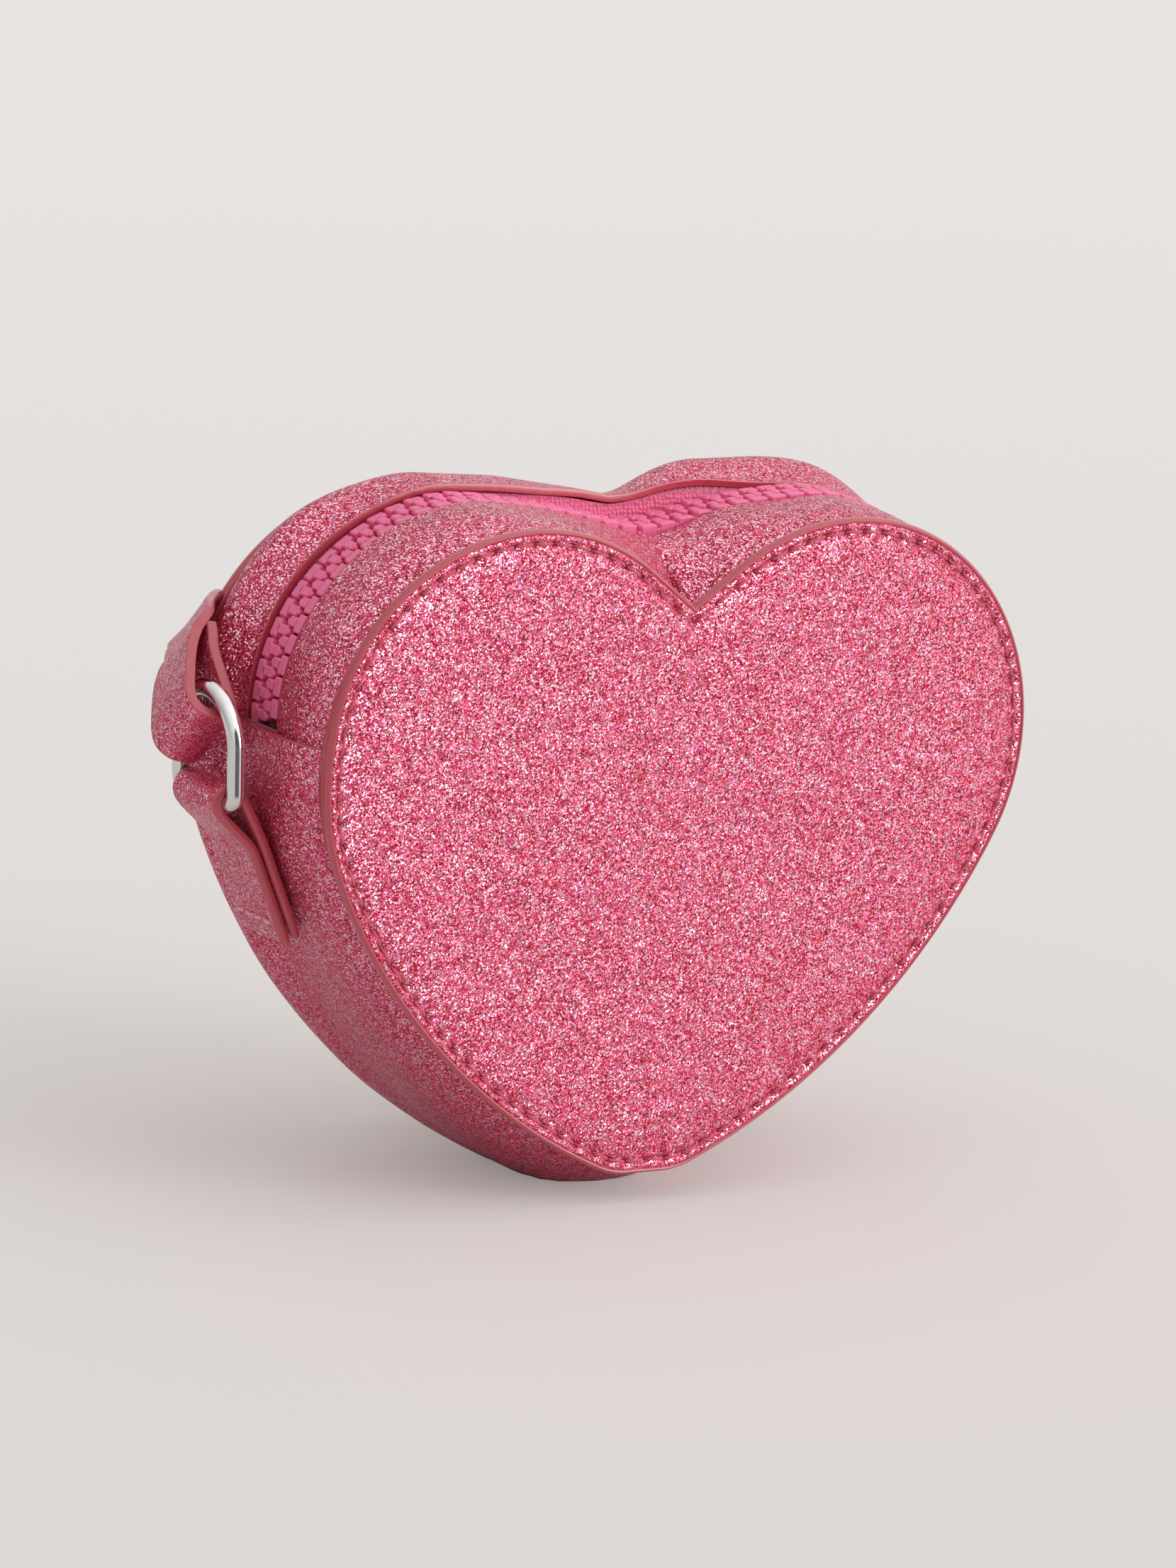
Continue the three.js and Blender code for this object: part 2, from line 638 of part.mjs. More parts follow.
function ringBody() {
  const half = RING_WIDTH / 2;
  const path = new THREE.Path();
  path.absarc(half - RING_CORNER, RING_CORNER, RING_CORNER, -Math.PI / 2, 0, false);
  path.absarc(0, RING_HEIGHT - half, half, 0, Math.PI, false);
  path.absarc(RING_CORNER - half, RING_CORNER, RING_CORNER, Math.PI, 1.5 * Math.PI, false);
  const points = path.getPoints(5);
  const sections = points.map((point, index) => {
    const before = points.at(index - 1);
    const after = points[(index + 1) % points.length];
    const way = after.clone().sub(before).normalize();
    return between(0, 2 * Math.PI, 8).slice(1).map((angle) => {
      const across = Math.cos(angle) * RING_WIRE / 2;
      const out = Math.sin(angle) * RING_WIRE / 2;
      return new Vector3(out, point.x - way.y * across, point.y + way.x * across);
    });
  });
  return skin(sections, true);
}

function addRings() {
  for (const [word, hand] of [['left', -1], ['right', 1]]) {
    const leaning = new THREE.Group();
    leaning.position.set(hand * bar.x, 0, bar.y);
    leaning.rotation.y = hand * degToRad(RING_LEAN);
    addMesh(`ring_${word}`, ringBody(), CHROME, leaning);
    bag.add(leaning);
  }
}

// Strap: a sewn loop on each ring, a run behind the bag from each, and the roll between them

const lean = degToRad(RING_LEAN);
const bowTop = new Vector3(bar.x + RING_HEIGHT * Math.sin(lean), 0, bar.y + RING_HEIGHT * Math.cos(lean));
const loopAcross = new Vector3(0, Math.cos(degToRad(LOOP_TILT)), -Math.sin(degToRad(LOOP_TILT)));
const loopUp = new Vector3(0, Math.sin(degToRad(LOOP_TILT)), Math.cos(degToRad(LOOP_TILT)));
const strapPlane = DEPTH / 2 + STRAP_BEHIND + STRAP_WIDTH / 2;

function onLoop(hand, out, up, across) {
  const point = bowTop.clone().addScaledVector(loopUp, up).addScaledVector(loopAcross, across);
  return new Vector3(hand * (point.x + out), point.y, point.z);
}

function strapEnd(hand) {
  const curve = new THREE.SplineCurve(LOOP_PATH.map(([out, up]) => new Vector2(out, up)));
  const outline = ribbon(curve.getPoints(36), LEATHER);
  return skin([LOOP_FRONT, LOOP_FRONT + STRAP_WIDTH].map((across) => (
    outline.map((point) => onLoop(hand, point.x, point.y, across))
  )));
}

// Sections of a strap along points, with a lean in degrees from +Y at each
function strapSections(points, leans) {
  return points.map((point, index) => {
    const before = points[Math.max(index - 1, 0)];
    const after = points[Math.min(index + 1, points.length - 1)];
    const way = after.clone().sub(before).normalize();
    const turn = degToRad(leans[index]);
    const across = new Vector3(0, Math.cos(turn), -Math.sin(turn));
    across.addScaledVector(way, -across.dot(way)).setLength(STRAP_WIDTH / 2);
    const out = way.clone().cross(across).setLength(LEATHER / 2);
    return [[1, 1], [-1, 1], [-1, -1], [1, -1]].map(([wide, thick]) => (
      point.clone().addScaledVector(across, wide).addScaledVector(out, thick)
    ));
  });
}

function strapRun(hand, route, end) {
  const middle = LOOP_FRONT + STRAP_WIDTH / 2;
  const loopEnd = onLoop(hand, ...LOOP_PATH.at(-1), middle);
  const first = onLoop(hand, ...RUN_START[0], middle);
  const points = [
    loopEnd.add(first.clone().sub(loopEnd).setLength(LAYER_GAP)),
    ...RUN_START.map(([out, up]) => onLoop(hand, out, up, middle)),
    ...route.map(([out, back, up]) => new Vector3(hand * out, strapPlane + back, up)),
    end,
  ];
  const leans = [LOOP_TILT, LOOP_TILT, LOOP_TILT, ...route.map((place) => place[3]), 0];
  const spans = points.length - 1;
  const curve = new THREE.CatmullRomCurve3(points);
  const shares = between(0, spans, 3 * spans);
  const leanAt = (share) => {
    const index = Math.min(Math.floor(share), spans - 1);
    return lerp(leans[index], leans[index + 1], share - index);
  };
  return skin(strapSections(shares.map((share) => curve.getPoint(share / spans)), shares.map(leanAt)));
}

// The roll: both arms wind outward together, and an S in the eye joins them.
// Points are sideways and up from its middle.
function coilPath() {
  const growth = COIL_SPACING / Math.PI;
  const leftTurn = (COIL_RADIUS - COIL_EYE) / growth;
  const rightTurn = leftTurn + Math.PI / 2;
  const begin = Math.PI / 2 - leftTurn;
  const steps = (turn) => Math.ceil(turn / (2 * Math.PI) * TURN_STEPS);
  const origin = new Vector2();
  const arm = (start, turn) => between(0, turn, steps(turn)).map((angle) => (
    onCircle(origin, COIL_EYE + growth * angle, start + angle)
  ));
  const left = arm(begin, leftTurn);
  const right = arm(begin + Math.PI, rightTurn);
  const eye = onCircle(origin, COIL_EYE / 2, begin);
  const halfCircle = between(0, Math.PI, 8).slice(1);
  const inward = halfCircle.map((angle) => onCircle(eye, COIL_EYE / 2, begin - angle));
  const outward = halfCircle.slice(0, -1).map((angle) => (
    onCircle(eye.clone().negate(), COIL_EYE / 2, begin + angle)
  ));
  const leftEnd = left.at(-1).clone().add(new Vector2(-COIL_TAIL, 0));
  const rightEnd = right.at(-1).clone().add(new Vector2(0, COIL_TAIL));
  return [leftEnd, ...left.toReversed(), ...inward, ...outward, ...right, rightEnd];
}

// The least distance between the faces of turns that aren't next to each other on the strap
function leastGap(path) {
  const lengths = [0];
  path.slice(1).forEach((point, index) => lengths.push(lengths[index] + point.distanceTo(path[index])));
  let least = Infinity;
  path.forEach((point, index) => {
    for (let other = index + 1; other < path.length; other += 1) {
      if (lengths[other] - lengths[index] > 4 * COIL_SPACING) {
        least = Math.min(least, point.distanceTo(path[other]) - LEATHER);
      }
    }
  });
  return least;
}

function addStrap() {
  const path = coilPath();
  const lowest = Math.min(...path.map((point) => point.y));
  const middle = new Vector3(COIL_X, strapPlane, LAYER_GAP + LEATHER / 2 - lowest);
  const points = path.map((point) => new Vector3(point.x, 0, point.y).add(middle));
  const coil = addMesh('strap_coil', skin(strapSections(points, points.map(() => 0))), GLITTER);
  const ends = {
    left: points[0].clone().add(new Vector3(-LAYER_GAP, 0, 0)),
    right: points.at(-1).clone().add(new Vector3(0, 0, LAYER_GAP)),
  };
  for (const [word, hand, route] of [['left', -1, LEFT_ROUTE], ['right', 1, RIGHT_ROUTE]]) {
    addMesh(`strap_end_${word}`, strapEnd(hand), GLITTER);
    addMesh(`strap_${word}_run`, strapRun(hand, route, ends[word]), GLITTER);
  }
  console.log(`Least gap of ${coil.name} to itself: ${leastGap(path).toFixed(2)} mm`);
}

addPanels();
addGussets();
addGussetLining();
addTapes();
addTeeth();
addStops();
addSlider();
addTabs();
addRings();
addStrap();

export default bag;
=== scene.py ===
import contextlib
import json
from math import asin, atan2, ceil, copysign, cos, exp, pi, radians, sin, sqrt, tan

import bpy
from mathutils import Matrix, Vector, noise


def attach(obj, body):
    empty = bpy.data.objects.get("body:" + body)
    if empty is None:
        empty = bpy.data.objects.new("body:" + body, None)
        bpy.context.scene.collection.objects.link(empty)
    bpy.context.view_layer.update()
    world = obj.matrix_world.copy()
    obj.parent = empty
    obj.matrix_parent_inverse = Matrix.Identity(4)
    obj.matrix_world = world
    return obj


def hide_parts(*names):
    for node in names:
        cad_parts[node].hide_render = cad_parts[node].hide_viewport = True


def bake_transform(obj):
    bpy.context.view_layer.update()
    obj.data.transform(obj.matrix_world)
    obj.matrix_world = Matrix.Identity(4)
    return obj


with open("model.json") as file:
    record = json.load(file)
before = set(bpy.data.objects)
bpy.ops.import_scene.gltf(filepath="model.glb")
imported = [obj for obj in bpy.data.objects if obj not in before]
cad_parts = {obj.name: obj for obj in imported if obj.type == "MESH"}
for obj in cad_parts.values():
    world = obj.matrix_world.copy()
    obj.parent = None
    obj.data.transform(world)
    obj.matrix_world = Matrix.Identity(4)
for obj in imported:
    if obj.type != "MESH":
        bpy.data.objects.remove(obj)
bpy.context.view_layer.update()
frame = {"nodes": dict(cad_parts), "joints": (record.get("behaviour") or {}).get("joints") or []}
MM = 0.001


def deselect():
    bpy.ops.object.select_all(action="DESELECT")


# The camera stands where the photographer's stood: low, to the left of the front, with a long lens
# and a slight roll. Its place comes from fitting the heart's edge to the picture.
CAMERA_RIGHT = (0.8307, -0.5499, 0.0871)
CAMERA_UP = (0.0479, 0.2265, 0.9728)
CAMERA_BACK = (-0.5547, -0.8039, 0.2144)
CAMERA_PLACE = (-0.8741, -1.2626, 0.4103)
LENS = 195.3
FILM_HEIGHT = 36

deselect()
bpy.ops.object.camera_add()
camera = bpy.context.object
camera.name = "camera"
camera.data.sensor_fit = "VERTICAL"
camera.data.sensor_height = FILM_HEIGHT
camera.data.lens = LENS
camera.data.clip_end = 50
turned = Matrix((CAMERA_RIGHT, CAMERA_UP, CAMERA_BACK)).transposed()
camera.matrix_world = Matrix.LocRotScale(CAMERA_PLACE, turned.to_quaternion(), None)
bpy.context.scene.camera = camera


# The two heart panels are cut from glitter leather and laid on boards, so they are nearly flat.
# A row of stitches runs round inside the edge and draws the leather in, and the cut edges of
# the panel and of the gusset's turned lip are painted over together as one round bead.
HALF_WIDTH = 77.5
PANEL_TOP = 127.6
PANEL_FOOT = 5.5
LOBE_RADIUS = 42.65
CUSP_SLOPE = radians(36)
SIDE_RADIUS = 125.5
TIP_RADIUS = 15.8
TIP_FLAT = 4
PANEL_MIDDLE = Vector((0, 78))
# Each ring of a panel: how far inside the edge, at which share of the way there from the middle, and
# how far from the bag's middle plane. The bead's points have no share.
PANEL_RINGS = (
    (9, 0, 23.3), (9, 0.5, 23.3), (5, 1, 23.3), (1.5, 1, 23.3), (0.95, 1, 23.8),
    (0.8, 1, 24.5), (0.9, 1, 25.05), (1.15, 1, 25.3), (1.55, 1, 25.35), (1.95, 1, 25.2),
    (2.3, 1, 24.95), (2.6, 1, 24.8), (2.9, 1, 24.95), (3.3, 1, 25.2), (4, 1, 25.35),
    (5.5, 1, 25.5), (7, 1, 25.6), (9, 1, 25.7),
    (9, 0.9, 25.75), (9, 0.75, 25.85), (9, 0.55, 25.95), (9, 0.35, 26.05), (9, 0.15, 26.1),
    (9, 0, 26.1),
)
BEAD_RING = (
    (1.6, 23.2), (1.1, 23), (0.5, 23.1), (0.15, 23.45), (0, 24), (0.06, 24.6),
    (0.3, 25.1), (0.6, 25.3), (0.9, 25.2), (1.1, 24.8), (1.6, 23.2),
)
BACK_DRAW = 0.8
STITCH_INSET = 2.6
STITCH_OUT = 25.05
STITCH_PITCH = 4.5
STITCH_STEPS = 6
STITCH_LENGTH = 4.1
STITCH_WIDTH = 0.75
STITCH_DIP = 0.7
STITCH_PINCH = 0.6
PINCH_REACH = 0.5
PANEL_FACE = 25
PANEL_WAVE = 0.25
PANEL_WAVE_LENGTH = 30
PANEL_WAVE_SLICE = 40
PRESS_DEPTH = 1.3
PRESS_HEIGHT = 84
PRESS_REACH = 18
FLAKE = 0.00025
FLAKE_LEAN = 0.85
CLUMPING = 0.5
HOT_SHARE = 0.14
GRAIN_SHADE = 0.82
DEEP_ROSE = (0.36, 0.012, 0.03, 1)
ROSE = (0.68, 0.045, 0.1, 1)
PALE_ROSE = (0.9, 0.2, 0.31, 1)
WHITE_ROSE = (1, 0.66, 0.78, 1)
HOT_ROSE = (0.86, 0.1, 0.35, 1)
EDGE_ROSE = (0.52, 0.05, 0.08, 1)
THREAD_ROSE = (0.6, 0.07, 0.125, 1)

lobe = Vector((HALF_WIDTH - LOBE_RADIUS, PANEL_TOP - LOBE_RADIUS))
tip = Vector((TIP_FLAT, PANEL_FOOT + TIP_RADIUS))
touch_angle = pi / 2 + CUSP_SLOPE


def on_circle(centre, radius, angle):
    return centre + Vector((cos(angle), sin(angle))) * radius


def side_centre():
    to_lobe = SIDE_RADIUS - LOBE_RADIUS
    to_tip = SIDE_RADIUS - TIP_RADIUS
    way = tip - lobe
    span = way.length
    along = (span ** 2 + to_lobe ** 2 - to_tip ** 2) / (2 * span)
    across = sqrt(to_lobe ** 2 - along ** 2)
    way /= span
    return lobe + way * along + Vector((way.y, -way.x)) * across


side = side_centre()
lobe_joint = atan2(lobe.y - side.y, lobe.x - side.x)
tip_joint = atan2(tip.y - side.y, tip.x - side.x)
cusp_straight = on_circle(lobe, LOBE_RADIUS, touch_angle).x / cos(CUSP_SLOPE)
EDGE_ARCS = (
    (lobe, LOBE_RADIUS, touch_angle, lobe_joint),
    (side, SIDE_RADIUS, lobe_joint, tip_joint),
    (tip, TIP_RADIUS, tip_joint, -pi / 2),
)
half_edge = cusp_straight + sum(arc[1] * (arc[2] - arc[3]) for arc in EDGE_ARCS) + TIP_FLAT
stitch_count = 2 * round(half_edge / STITCH_PITCH)
EDGE_STEPS = STITCH_STEPS * stitch_count


def middle_of(touch, slope):
    return Vector((0, touch.y - touch.x * tan(slope)))


def panel_edge(length, inset):
    """A point in the panel's plane, at a length along the edge from the cusp, negative on the left."""
    hand = copysign(1, length)
    left = abs(length)
    point = None
    if left < cusp_straight:
        touch = on_circle(lobe, LOBE_RADIUS - inset, touch_angle)
        point = middle_of(touch, CUSP_SLOPE).lerp(touch, left / cusp_straight)
    left -= cusp_straight
    for centre, radius, start, end in EDGE_ARCS:
        if point is None and left <= radius * (start - end):
            point = on_circle(centre, radius - inset, start - left / radius)
        left -= radius * (start - end)
    if point is None:
        point = Vector((TIP_FLAT - left, PANEL_FOOT + inset))
    return Vector((hand * point.x, point.y))


def select_only(*pieces):
    deselect()
    for piece in pieces:
        piece.select_set(True)
    bpy.context.view_layer.objects.active = pieces[0]


def shaped_sheet(name, columns, rows, place, *finishes):
    """Columns and rows of points, all moved from a flat grid to their places in millimetres."""
    deselect()
    bpy.ops.mesh.primitive_grid_add(x_subdivisions=columns - 1, y_subdivisions=rows - 1, size=1)
    sheet = bpy.context.object
    sheet.name = name
    for vertex in sheet.data.vertices:
        column = round((vertex.co.x + 0.5) * (columns - 1))
        row = round((vertex.co.y + 0.5) * (rows - 1))
        vertex.co = Vector(place(column, row)) * MM
    for finish in finishes:
        sheet.data.materials.append(finish)
    return sheet


@contextlib.contextmanager
def edit_mode():
    bpy.ops.object.mode_set(mode="EDIT")
    yield
    bpy.ops.object.mode_set(mode="OBJECT")


def merge_and_turn_out(piece):
    select_only(piece)
    with edit_mode():
        bpy.ops.mesh.select_all(action="SELECT")
        bpy.ops.mesh.remove_doubles(threshold=0.00001)
        bpy.ops.mesh.normals_make_consistent(inside=False)


def smooth(piece, degrees=60):
    select_only(piece)
    bpy.ops.object.shade_smooth_by_angle(angle=radians(degrees))


def fix(piece, body, slot, *nodes):
    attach(piece, body)
    if nodes:
        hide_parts(*nodes)


def set_inputs(finish, node, inputs):
    """Gives a node's inputs plain values, or links them to the outputs of other nodes."""
    for socket, value in inputs.items():
        if isinstance(value, bpy.types.NodeSocket):
            finish.node_tree.links.new(value, node.inputs[socket])
        else:
            node.inputs[socket].default_value = value


def new_finish(name, inputs):
    finish = bpy.data.materials.new(name)
    finish.use_nodes = True
    shader = finish.node_tree.nodes["Principled BSDF"]
    set_inputs(finish, shader, inputs)
    return finish, shader


def add_node(finish, kind, inputs, **settings):
    made = finish.node_tree.nodes.new("ShaderNode" + kind)
    for setting, value in settings.items():
        setattr(made, setting, value)
    set_inputs(finish, made, inputs)
    return made


def add_ramp(finish, factor, stops, interpolation):
    ramp = add_node(finish, "ValToRGB", {"Fac": factor})
    ramp.color_ramp.interpolation = interpolation
    while len(ramp.color_ramp.elements) < len(stops):
        ramp.color_ramp.elements.new(1)
    for element, (place, colour) in zip(ramp.color_ramp.elements, stops):
        element.position = place
        element.color = colour
    return ramp.outputs["Color"]


def mixed(finish, factor, first, second):
    mix = add_node(finish, "Mix", {0: factor, 6: first, 7: second}, data_type="RGBA")
    return mix.outputs[2]


def reckon(finish, operation, *values):
    """The result of one step of arithmetic."""
    step = add_node(finish, "Math", dict(enumerate(values)), operation=operation)
    return step.outputs["Value"]


def reckon_way(finish, operation, *values, result="Vector"):
    """The same with directions and places."""
    step = add_node(finish, "VectorMath", dict(enumerate(values)), operation=operation)
    return step.outputs[result]


def share_between(finish, value, low, high, first=0, last=1):
    """How far a value lies from low to high, told from first to last."""
    step = add_node(finish, "MapRange", {
        "Value": value, "From Min": low, "From Max": high, "To Min": first, "To Max": last})
    return step.outputs["Result"]


def darkened(colour, share):
    return tuple(share * part for part in colour[:3]) + (1,)


def own_place(finish):
    return add_node(finish, "TexCoord", {}).outputs["Object"]


def glitter_leather():
    """Flakes of several pinks, each turned its own way, in clear resin on rose cloth."""
    finish, shader = new_finish("glitter_leather", {
        "Roughness": 0.24, "Specular IOR Level": 0.25, "Coat Weight": 0.1, "Coat Roughness": 0.15,
    })
    where = own_place(finish)
    flakes = add_node(finish, "TexVoronoi", {"Vector": where, "Scale": 1 / FLAKE})
    chance = add_node(finish, "SeparateColor", {"Color": flakes.outputs["Color"]})
    clumps = add_node(finish, "TexNoise", {"Vector": where, "Scale": 420, "Detail": 2})
    drift = reckon(finish, "MULTIPLY_ADD", clumps.outputs["Fac"], CLUMPING, -CLUMPING / 2)
    lightness = reckon(finish, "ADD", chance.outputs["Red"], drift)
    tone = add_ramp(finish, lightness, (
        (0, DEEP_ROSE), (0.28, ROSE), (0.56, PALE_ROSE), (0.76, WHITE_ROSE)), "CONSTANT")
    is_hot = reckon(finish, "GREATER_THAN", chance.outputs["Green"], 1 - HOT_SHARE)
    colour = mixed(finish, is_hot, tone, HOT_ROSE)
    metal = share_between(finish, lightness, 0.5, 0.78, 0.15, 0.95)
    chance_way = reckon_way(finish, "SUBTRACT", flakes.outputs["Color"], (0.5, 0.5, 0.5))
    lean = reckon_way(finish, "MULTIPLY", chance_way, (FLAKE_LEAN, FLAKE_LEAN, FLAKE_LEAN))
    face = add_node(finish, "NewGeometry", {}).outputs["Normal"]
    flake_face = reckon_way(finish, "NORMALIZE", reckon_way(finish, "ADD", lean, face))
    set_inputs(finish, shader, {
        "Base Color": colour, "Metallic": metal, "Normal": flake_face, "Coat Normal": flake_face})
    return finish


def grained_finish(name, colour, roughness, grain, depth, more=()):
    """A plain coloured finish with fine unevenness in its tone and its surface."""
    finish, shader = new_finish(name, {"Roughness": roughness, **dict(more)})
    where = own_place(finish)
    speckle = add_node(finish, "TexNoise", {
        "Vector": where, "Scale": 1 / grain, "Detail": 3})
    tone = mixed(finish, speckle.outputs["Fac"], darkened(colour, GRAIN_SHADE), colour)
    bump = add_node(finish, "Bump", {
        "Height": speckle.outputs["Fac"], "Strength": 0.4, "Distance": depth})
    set_inputs(finish, shader, {"Base Color": tone, "Normal": bump.outputs["Normal"]})
    return finish


def sewing_thread(name, colour):
    return grained_finish(
        name, colour, roughness=0.6, grain=0.0003, depth=0.0002, more={"Sheen Weight": 0.3})


glitter = glitter_leather()
edge_paint = grained_finish(
    "edge_paint", EDGE_ROSE, roughness=0.38, grain=0.0012, depth=0.0002,
    more={"Coat Weight": 1, "Coat Roughness": 0.22})
thread = sewing_thread("thread", THREAD_ROSE)


def edge_length(column):
    return (column / EDGE_STEPS - 0.5) * 2 * half_edge


def bell(x, middle, width):
    return exp(-((x - middle) / width) ** 2)


def pressed_in(length, hand):
    """How far the left side of the front is pressed in beside the ring."""
    if hand > 0 or length > 0:
        return 0
    return PRESS_DEPTH * bell(panel_edge(length, 0).y, PRESS_HEIGHT, PRESS_REACH)


def add_panel(word, hand, draw):
    def on_panel(column, row):
        inset, share, out = PANEL_RINGS[row]
        length = edge_length(column)
        edge = panel_edge(length, inset + draw + pressed_in(length, hand))
        point = PANEL_MIDDLE.lerp(edge, share)
        spot = Vector((point.x, point.y, PANEL_WAVE_SLICE * hand)) / PANEL_WAVE_LENGTH
        wave = PANEL_WAVE * noise.noise(spot) * (out > PANEL_FACE)
        at_hole = cos(2 * pi * column / STITCH_STEPS)
        near_seam = bell(inset, STITCH_INSET, PINCH_REACH) * share
        return (point.x, hand * (out + wave - STITCH_PINCH * at_hole * near_seam), point.y)

    def on_bead(column, row):
        inset, out = BEAD_RING[row]
        length = edge_length(column)
        point = panel_edge(length, inset + draw + pressed_in(length, hand))
        return (point.x, hand * out, point.y)

    columns = EDGE_STEPS + 1
    panel = shaped_sheet(f"{word}_panel_leather", columns, len(PANEL_RINGS), on_panel, glitter)
    bead = shaped_sheet(f"{word}_painted_edge", columns, len(BEAD_RING), on_bead, edge_paint)
    for piece in (panel, bead):
        merge_and_turn_out(piece)
        smooth(piece, 50)
    fix(panel, "bag", "glitter", f"{word}_panel")
    fix(bead, "bag", "glitter")


def one_stitch(length, width):
    """A short thread that dips into the leather at both ends."""
    deselect()
    bpy.ops.mesh.primitive_uv_sphere_add(segments=10, ring_count=8, radius=1)
    stitch = bpy.context.object
    for vertex in stitch.data.vertices:
        across, up, along = vertex.co
        vertex.co = Vector((along * length / 2, across * width / 2, up * width / 2))
        vertex.co.z -= STITCH_DIP * width * along ** 4
    return stitch


def join_copies(name, pattern, places):
    """Copies of one small shape at each place, as one piece."""
    copies = []
    for place in places:
        copy = pattern.copy()
        copy.data = pattern.data.copy()
        copy.data.transform(place)
        copy.data.transform(Matrix.Scale(MM, 4))
        bpy.context.collection.objects.link(copy)
        copies.append(copy)
    select_only(*copies)
    bpy.ops.object.join()
    copies[0].name = name
    return copies[0]


def set_on(point, along, up):
    """The turn and place of a small shape: its X goes along and its Z points up, as near as it can."""
    along = along.normalized()
    across = up.cross(along).normalized()
    turn = Matrix((along, across, along.cross(across))).transposed()
    return Matrix.LocRotScale(point, turn.to_quaternion(), None)


def add_stitching(name, pattern, places, finish):
    stitching = join_copies(name, pattern, places)
    stitching.data.materials.append(finish)
    smooth(stitching)
    fix(stitching, "bag", "glitter")


def add_panel_stitching(word, hand, draw, pattern):
    up = Vector((0, hand, 0))
    places = []
    for index in range(stitch_count):
        length = edge_length((index + 0.5) * STITCH_STEPS)
        inset = STITCH_INSET + draw + pressed_in(length, hand)
        before = panel_edge(length - 1, inset)
        after = panel_edge(length + 1, inset)
        middle = panel_edge(length, inset)
        along = Vector((after.x - before.x, 0, after.y - before.y))
        places.append(set_on(Vector((middle.x, hand * STITCH_OUT, middle.y)), along, up))
    add_stitching(f"{word}_panel_stitching", pattern, places, thread)


panel_stitch = one_stitch(STITCH_LENGTH, STITCH_WIDTH)
for panel_word, panel_hand, panel_draw in (("front", -1, 0), ("back", 1, BACK_DRAW)):
    add_panel(panel_word, panel_hand, panel_draw)
    add_panel_stitching(panel_word, panel_hand, panel_draw, panel_stitch)
bpy.data.objects.remove(panel_stitch)


# Inside, a grey board backs each panel, and a plain woven lining is glued over the boards and
# round the gusset. None of it shows while the zip is shut.
LINING_INSET = 7.5
LINING_OUT = 21.35
LINING_THICK = 0.5
BOARD_GREY = (0.3, 0.28, 0.26, 1)
LINING_PINK = (0.55, 0.23, 0.3, 1)
LINING_SHARES = (1, 0.85, 0.6, 0.3, 0)
WEAVE_PAINTED_SHADE = 0.55

greyboard = grained_finish("greyboard", BOARD_GREY, roughness=0.9, grain=0.0008, depth=0.0003)
for board in ("front_stiffener", "back_stiffener"):
    frame["nodes"][board].data.materials.clear()
    frame["nodes"][board].data.materials.append(greyboard)


def woven_cloth(name, colour, thread_size, depth):
    """Cloth whose threads show as rows of small bumps, each painted darker towards its edges as shade in
    the dips between them.
    """
    finish, shader = new_finish(name, {"Roughness": 0.8, "Sheen Weight": 0.25})
    where = own_place(finish)
    threads = add_node(finish, "TexVoronoi", {
        "Vector": where, "Scale": 1 / (thread_size * MM), "Randomness": 0.4})
    # Painted shade: the colour darkens towards the dips between the threads, where the bump sinks.
    stops = ((0.25, colour), (0.8, darkened(colour, WEAVE_PAINTED_SHADE)))
    tone = add_ramp(finish, threads.outputs["Distance"], stops, "LINEAR")
    bump = add_node(finish, "Bump", {
        "Height": threads.outputs["Distance"], "Strength": 0.8, "Distance": depth}, invert=True)
    set_inputs(finish, shader, {"Base Color": tone, "Normal": bump.outputs["Normal"]})
    return finish


def thicken(sheet, thickness, offset, rim):
    select_only(sheet)
    bpy.ops.object.modifier_add(type="SOLIDIFY")
    solidify = sheet.modifiers[-1]
    solidify.thickness = thickness * MM
    solidify.offset = offset
    solidify.material_offset_rim = rim
    bpy.ops.object.modifier_apply(modifier=solidify.name)


lining_cloth = woven_cloth("lining_cloth", LINING_PINK, thread_size=0.5, depth=0.0003)


def add_panel_lining(word, hand):
    def on_lining(column, row):
        edge = panel_edge(edge_length(STITCH_STEPS * column), LINING_INSET)
        point = PANEL_MIDDLE.lerp(edge, LINING_SHARES[row])
        return (point.x, hand * LINING_OUT, point.y)

    lining = shaped_sheet(
        f"{word}_lining_cloth", stitch_count + 1, len(LINING_SHARES), on_lining, lining_cloth)
    merge_and_turn_out(lining)
    thicken(lining, LINING_THICK, 0, 0)
    fix(lining, "bag", "lining", f"lining_{word}")


add_panel_lining("front", -1)
add_panel_lining("back", 1)


# The gusset goes round between the panels: two strips of the same leather over the top, one on
# each side of the zip, and a wide strip below that laps over their ends and swells to a belly,
# on which the bag stands. Its lips are turned outward against the panels and sewn to them.
DEPTH_FACE = 20.95
SEAM_LIP = 3.5
LIP_EDGE = 1.9
LEATHER = 2
CROWN = Vector((38.2, 90.95))
CROWN_RADIUS = 37
VALLEY_SLOPE = radians(4)
CREST = pi / 2 + VALLEY_SLOPE
ZIP_END_HEIGHT = 88.45
ZIP_SLOT = 5.2
SLOT_WIDER = 1.3
WIDER_PLACE = 16
WIDER_REACH = 22
BELLY = 7.5
FRONT_POWER = 2.4
REAR_POWER = 5
PILLOW_START = 6
PILLOW_FRONT = 0.9
PILLOW_REAR = 4
PILLOW_SKEW = 1.3
SWELL_RIGHT = 0.95
SWELL_LEFT = 0.35
SWELL_FULL = 24
FLANK_FULL = 0.45
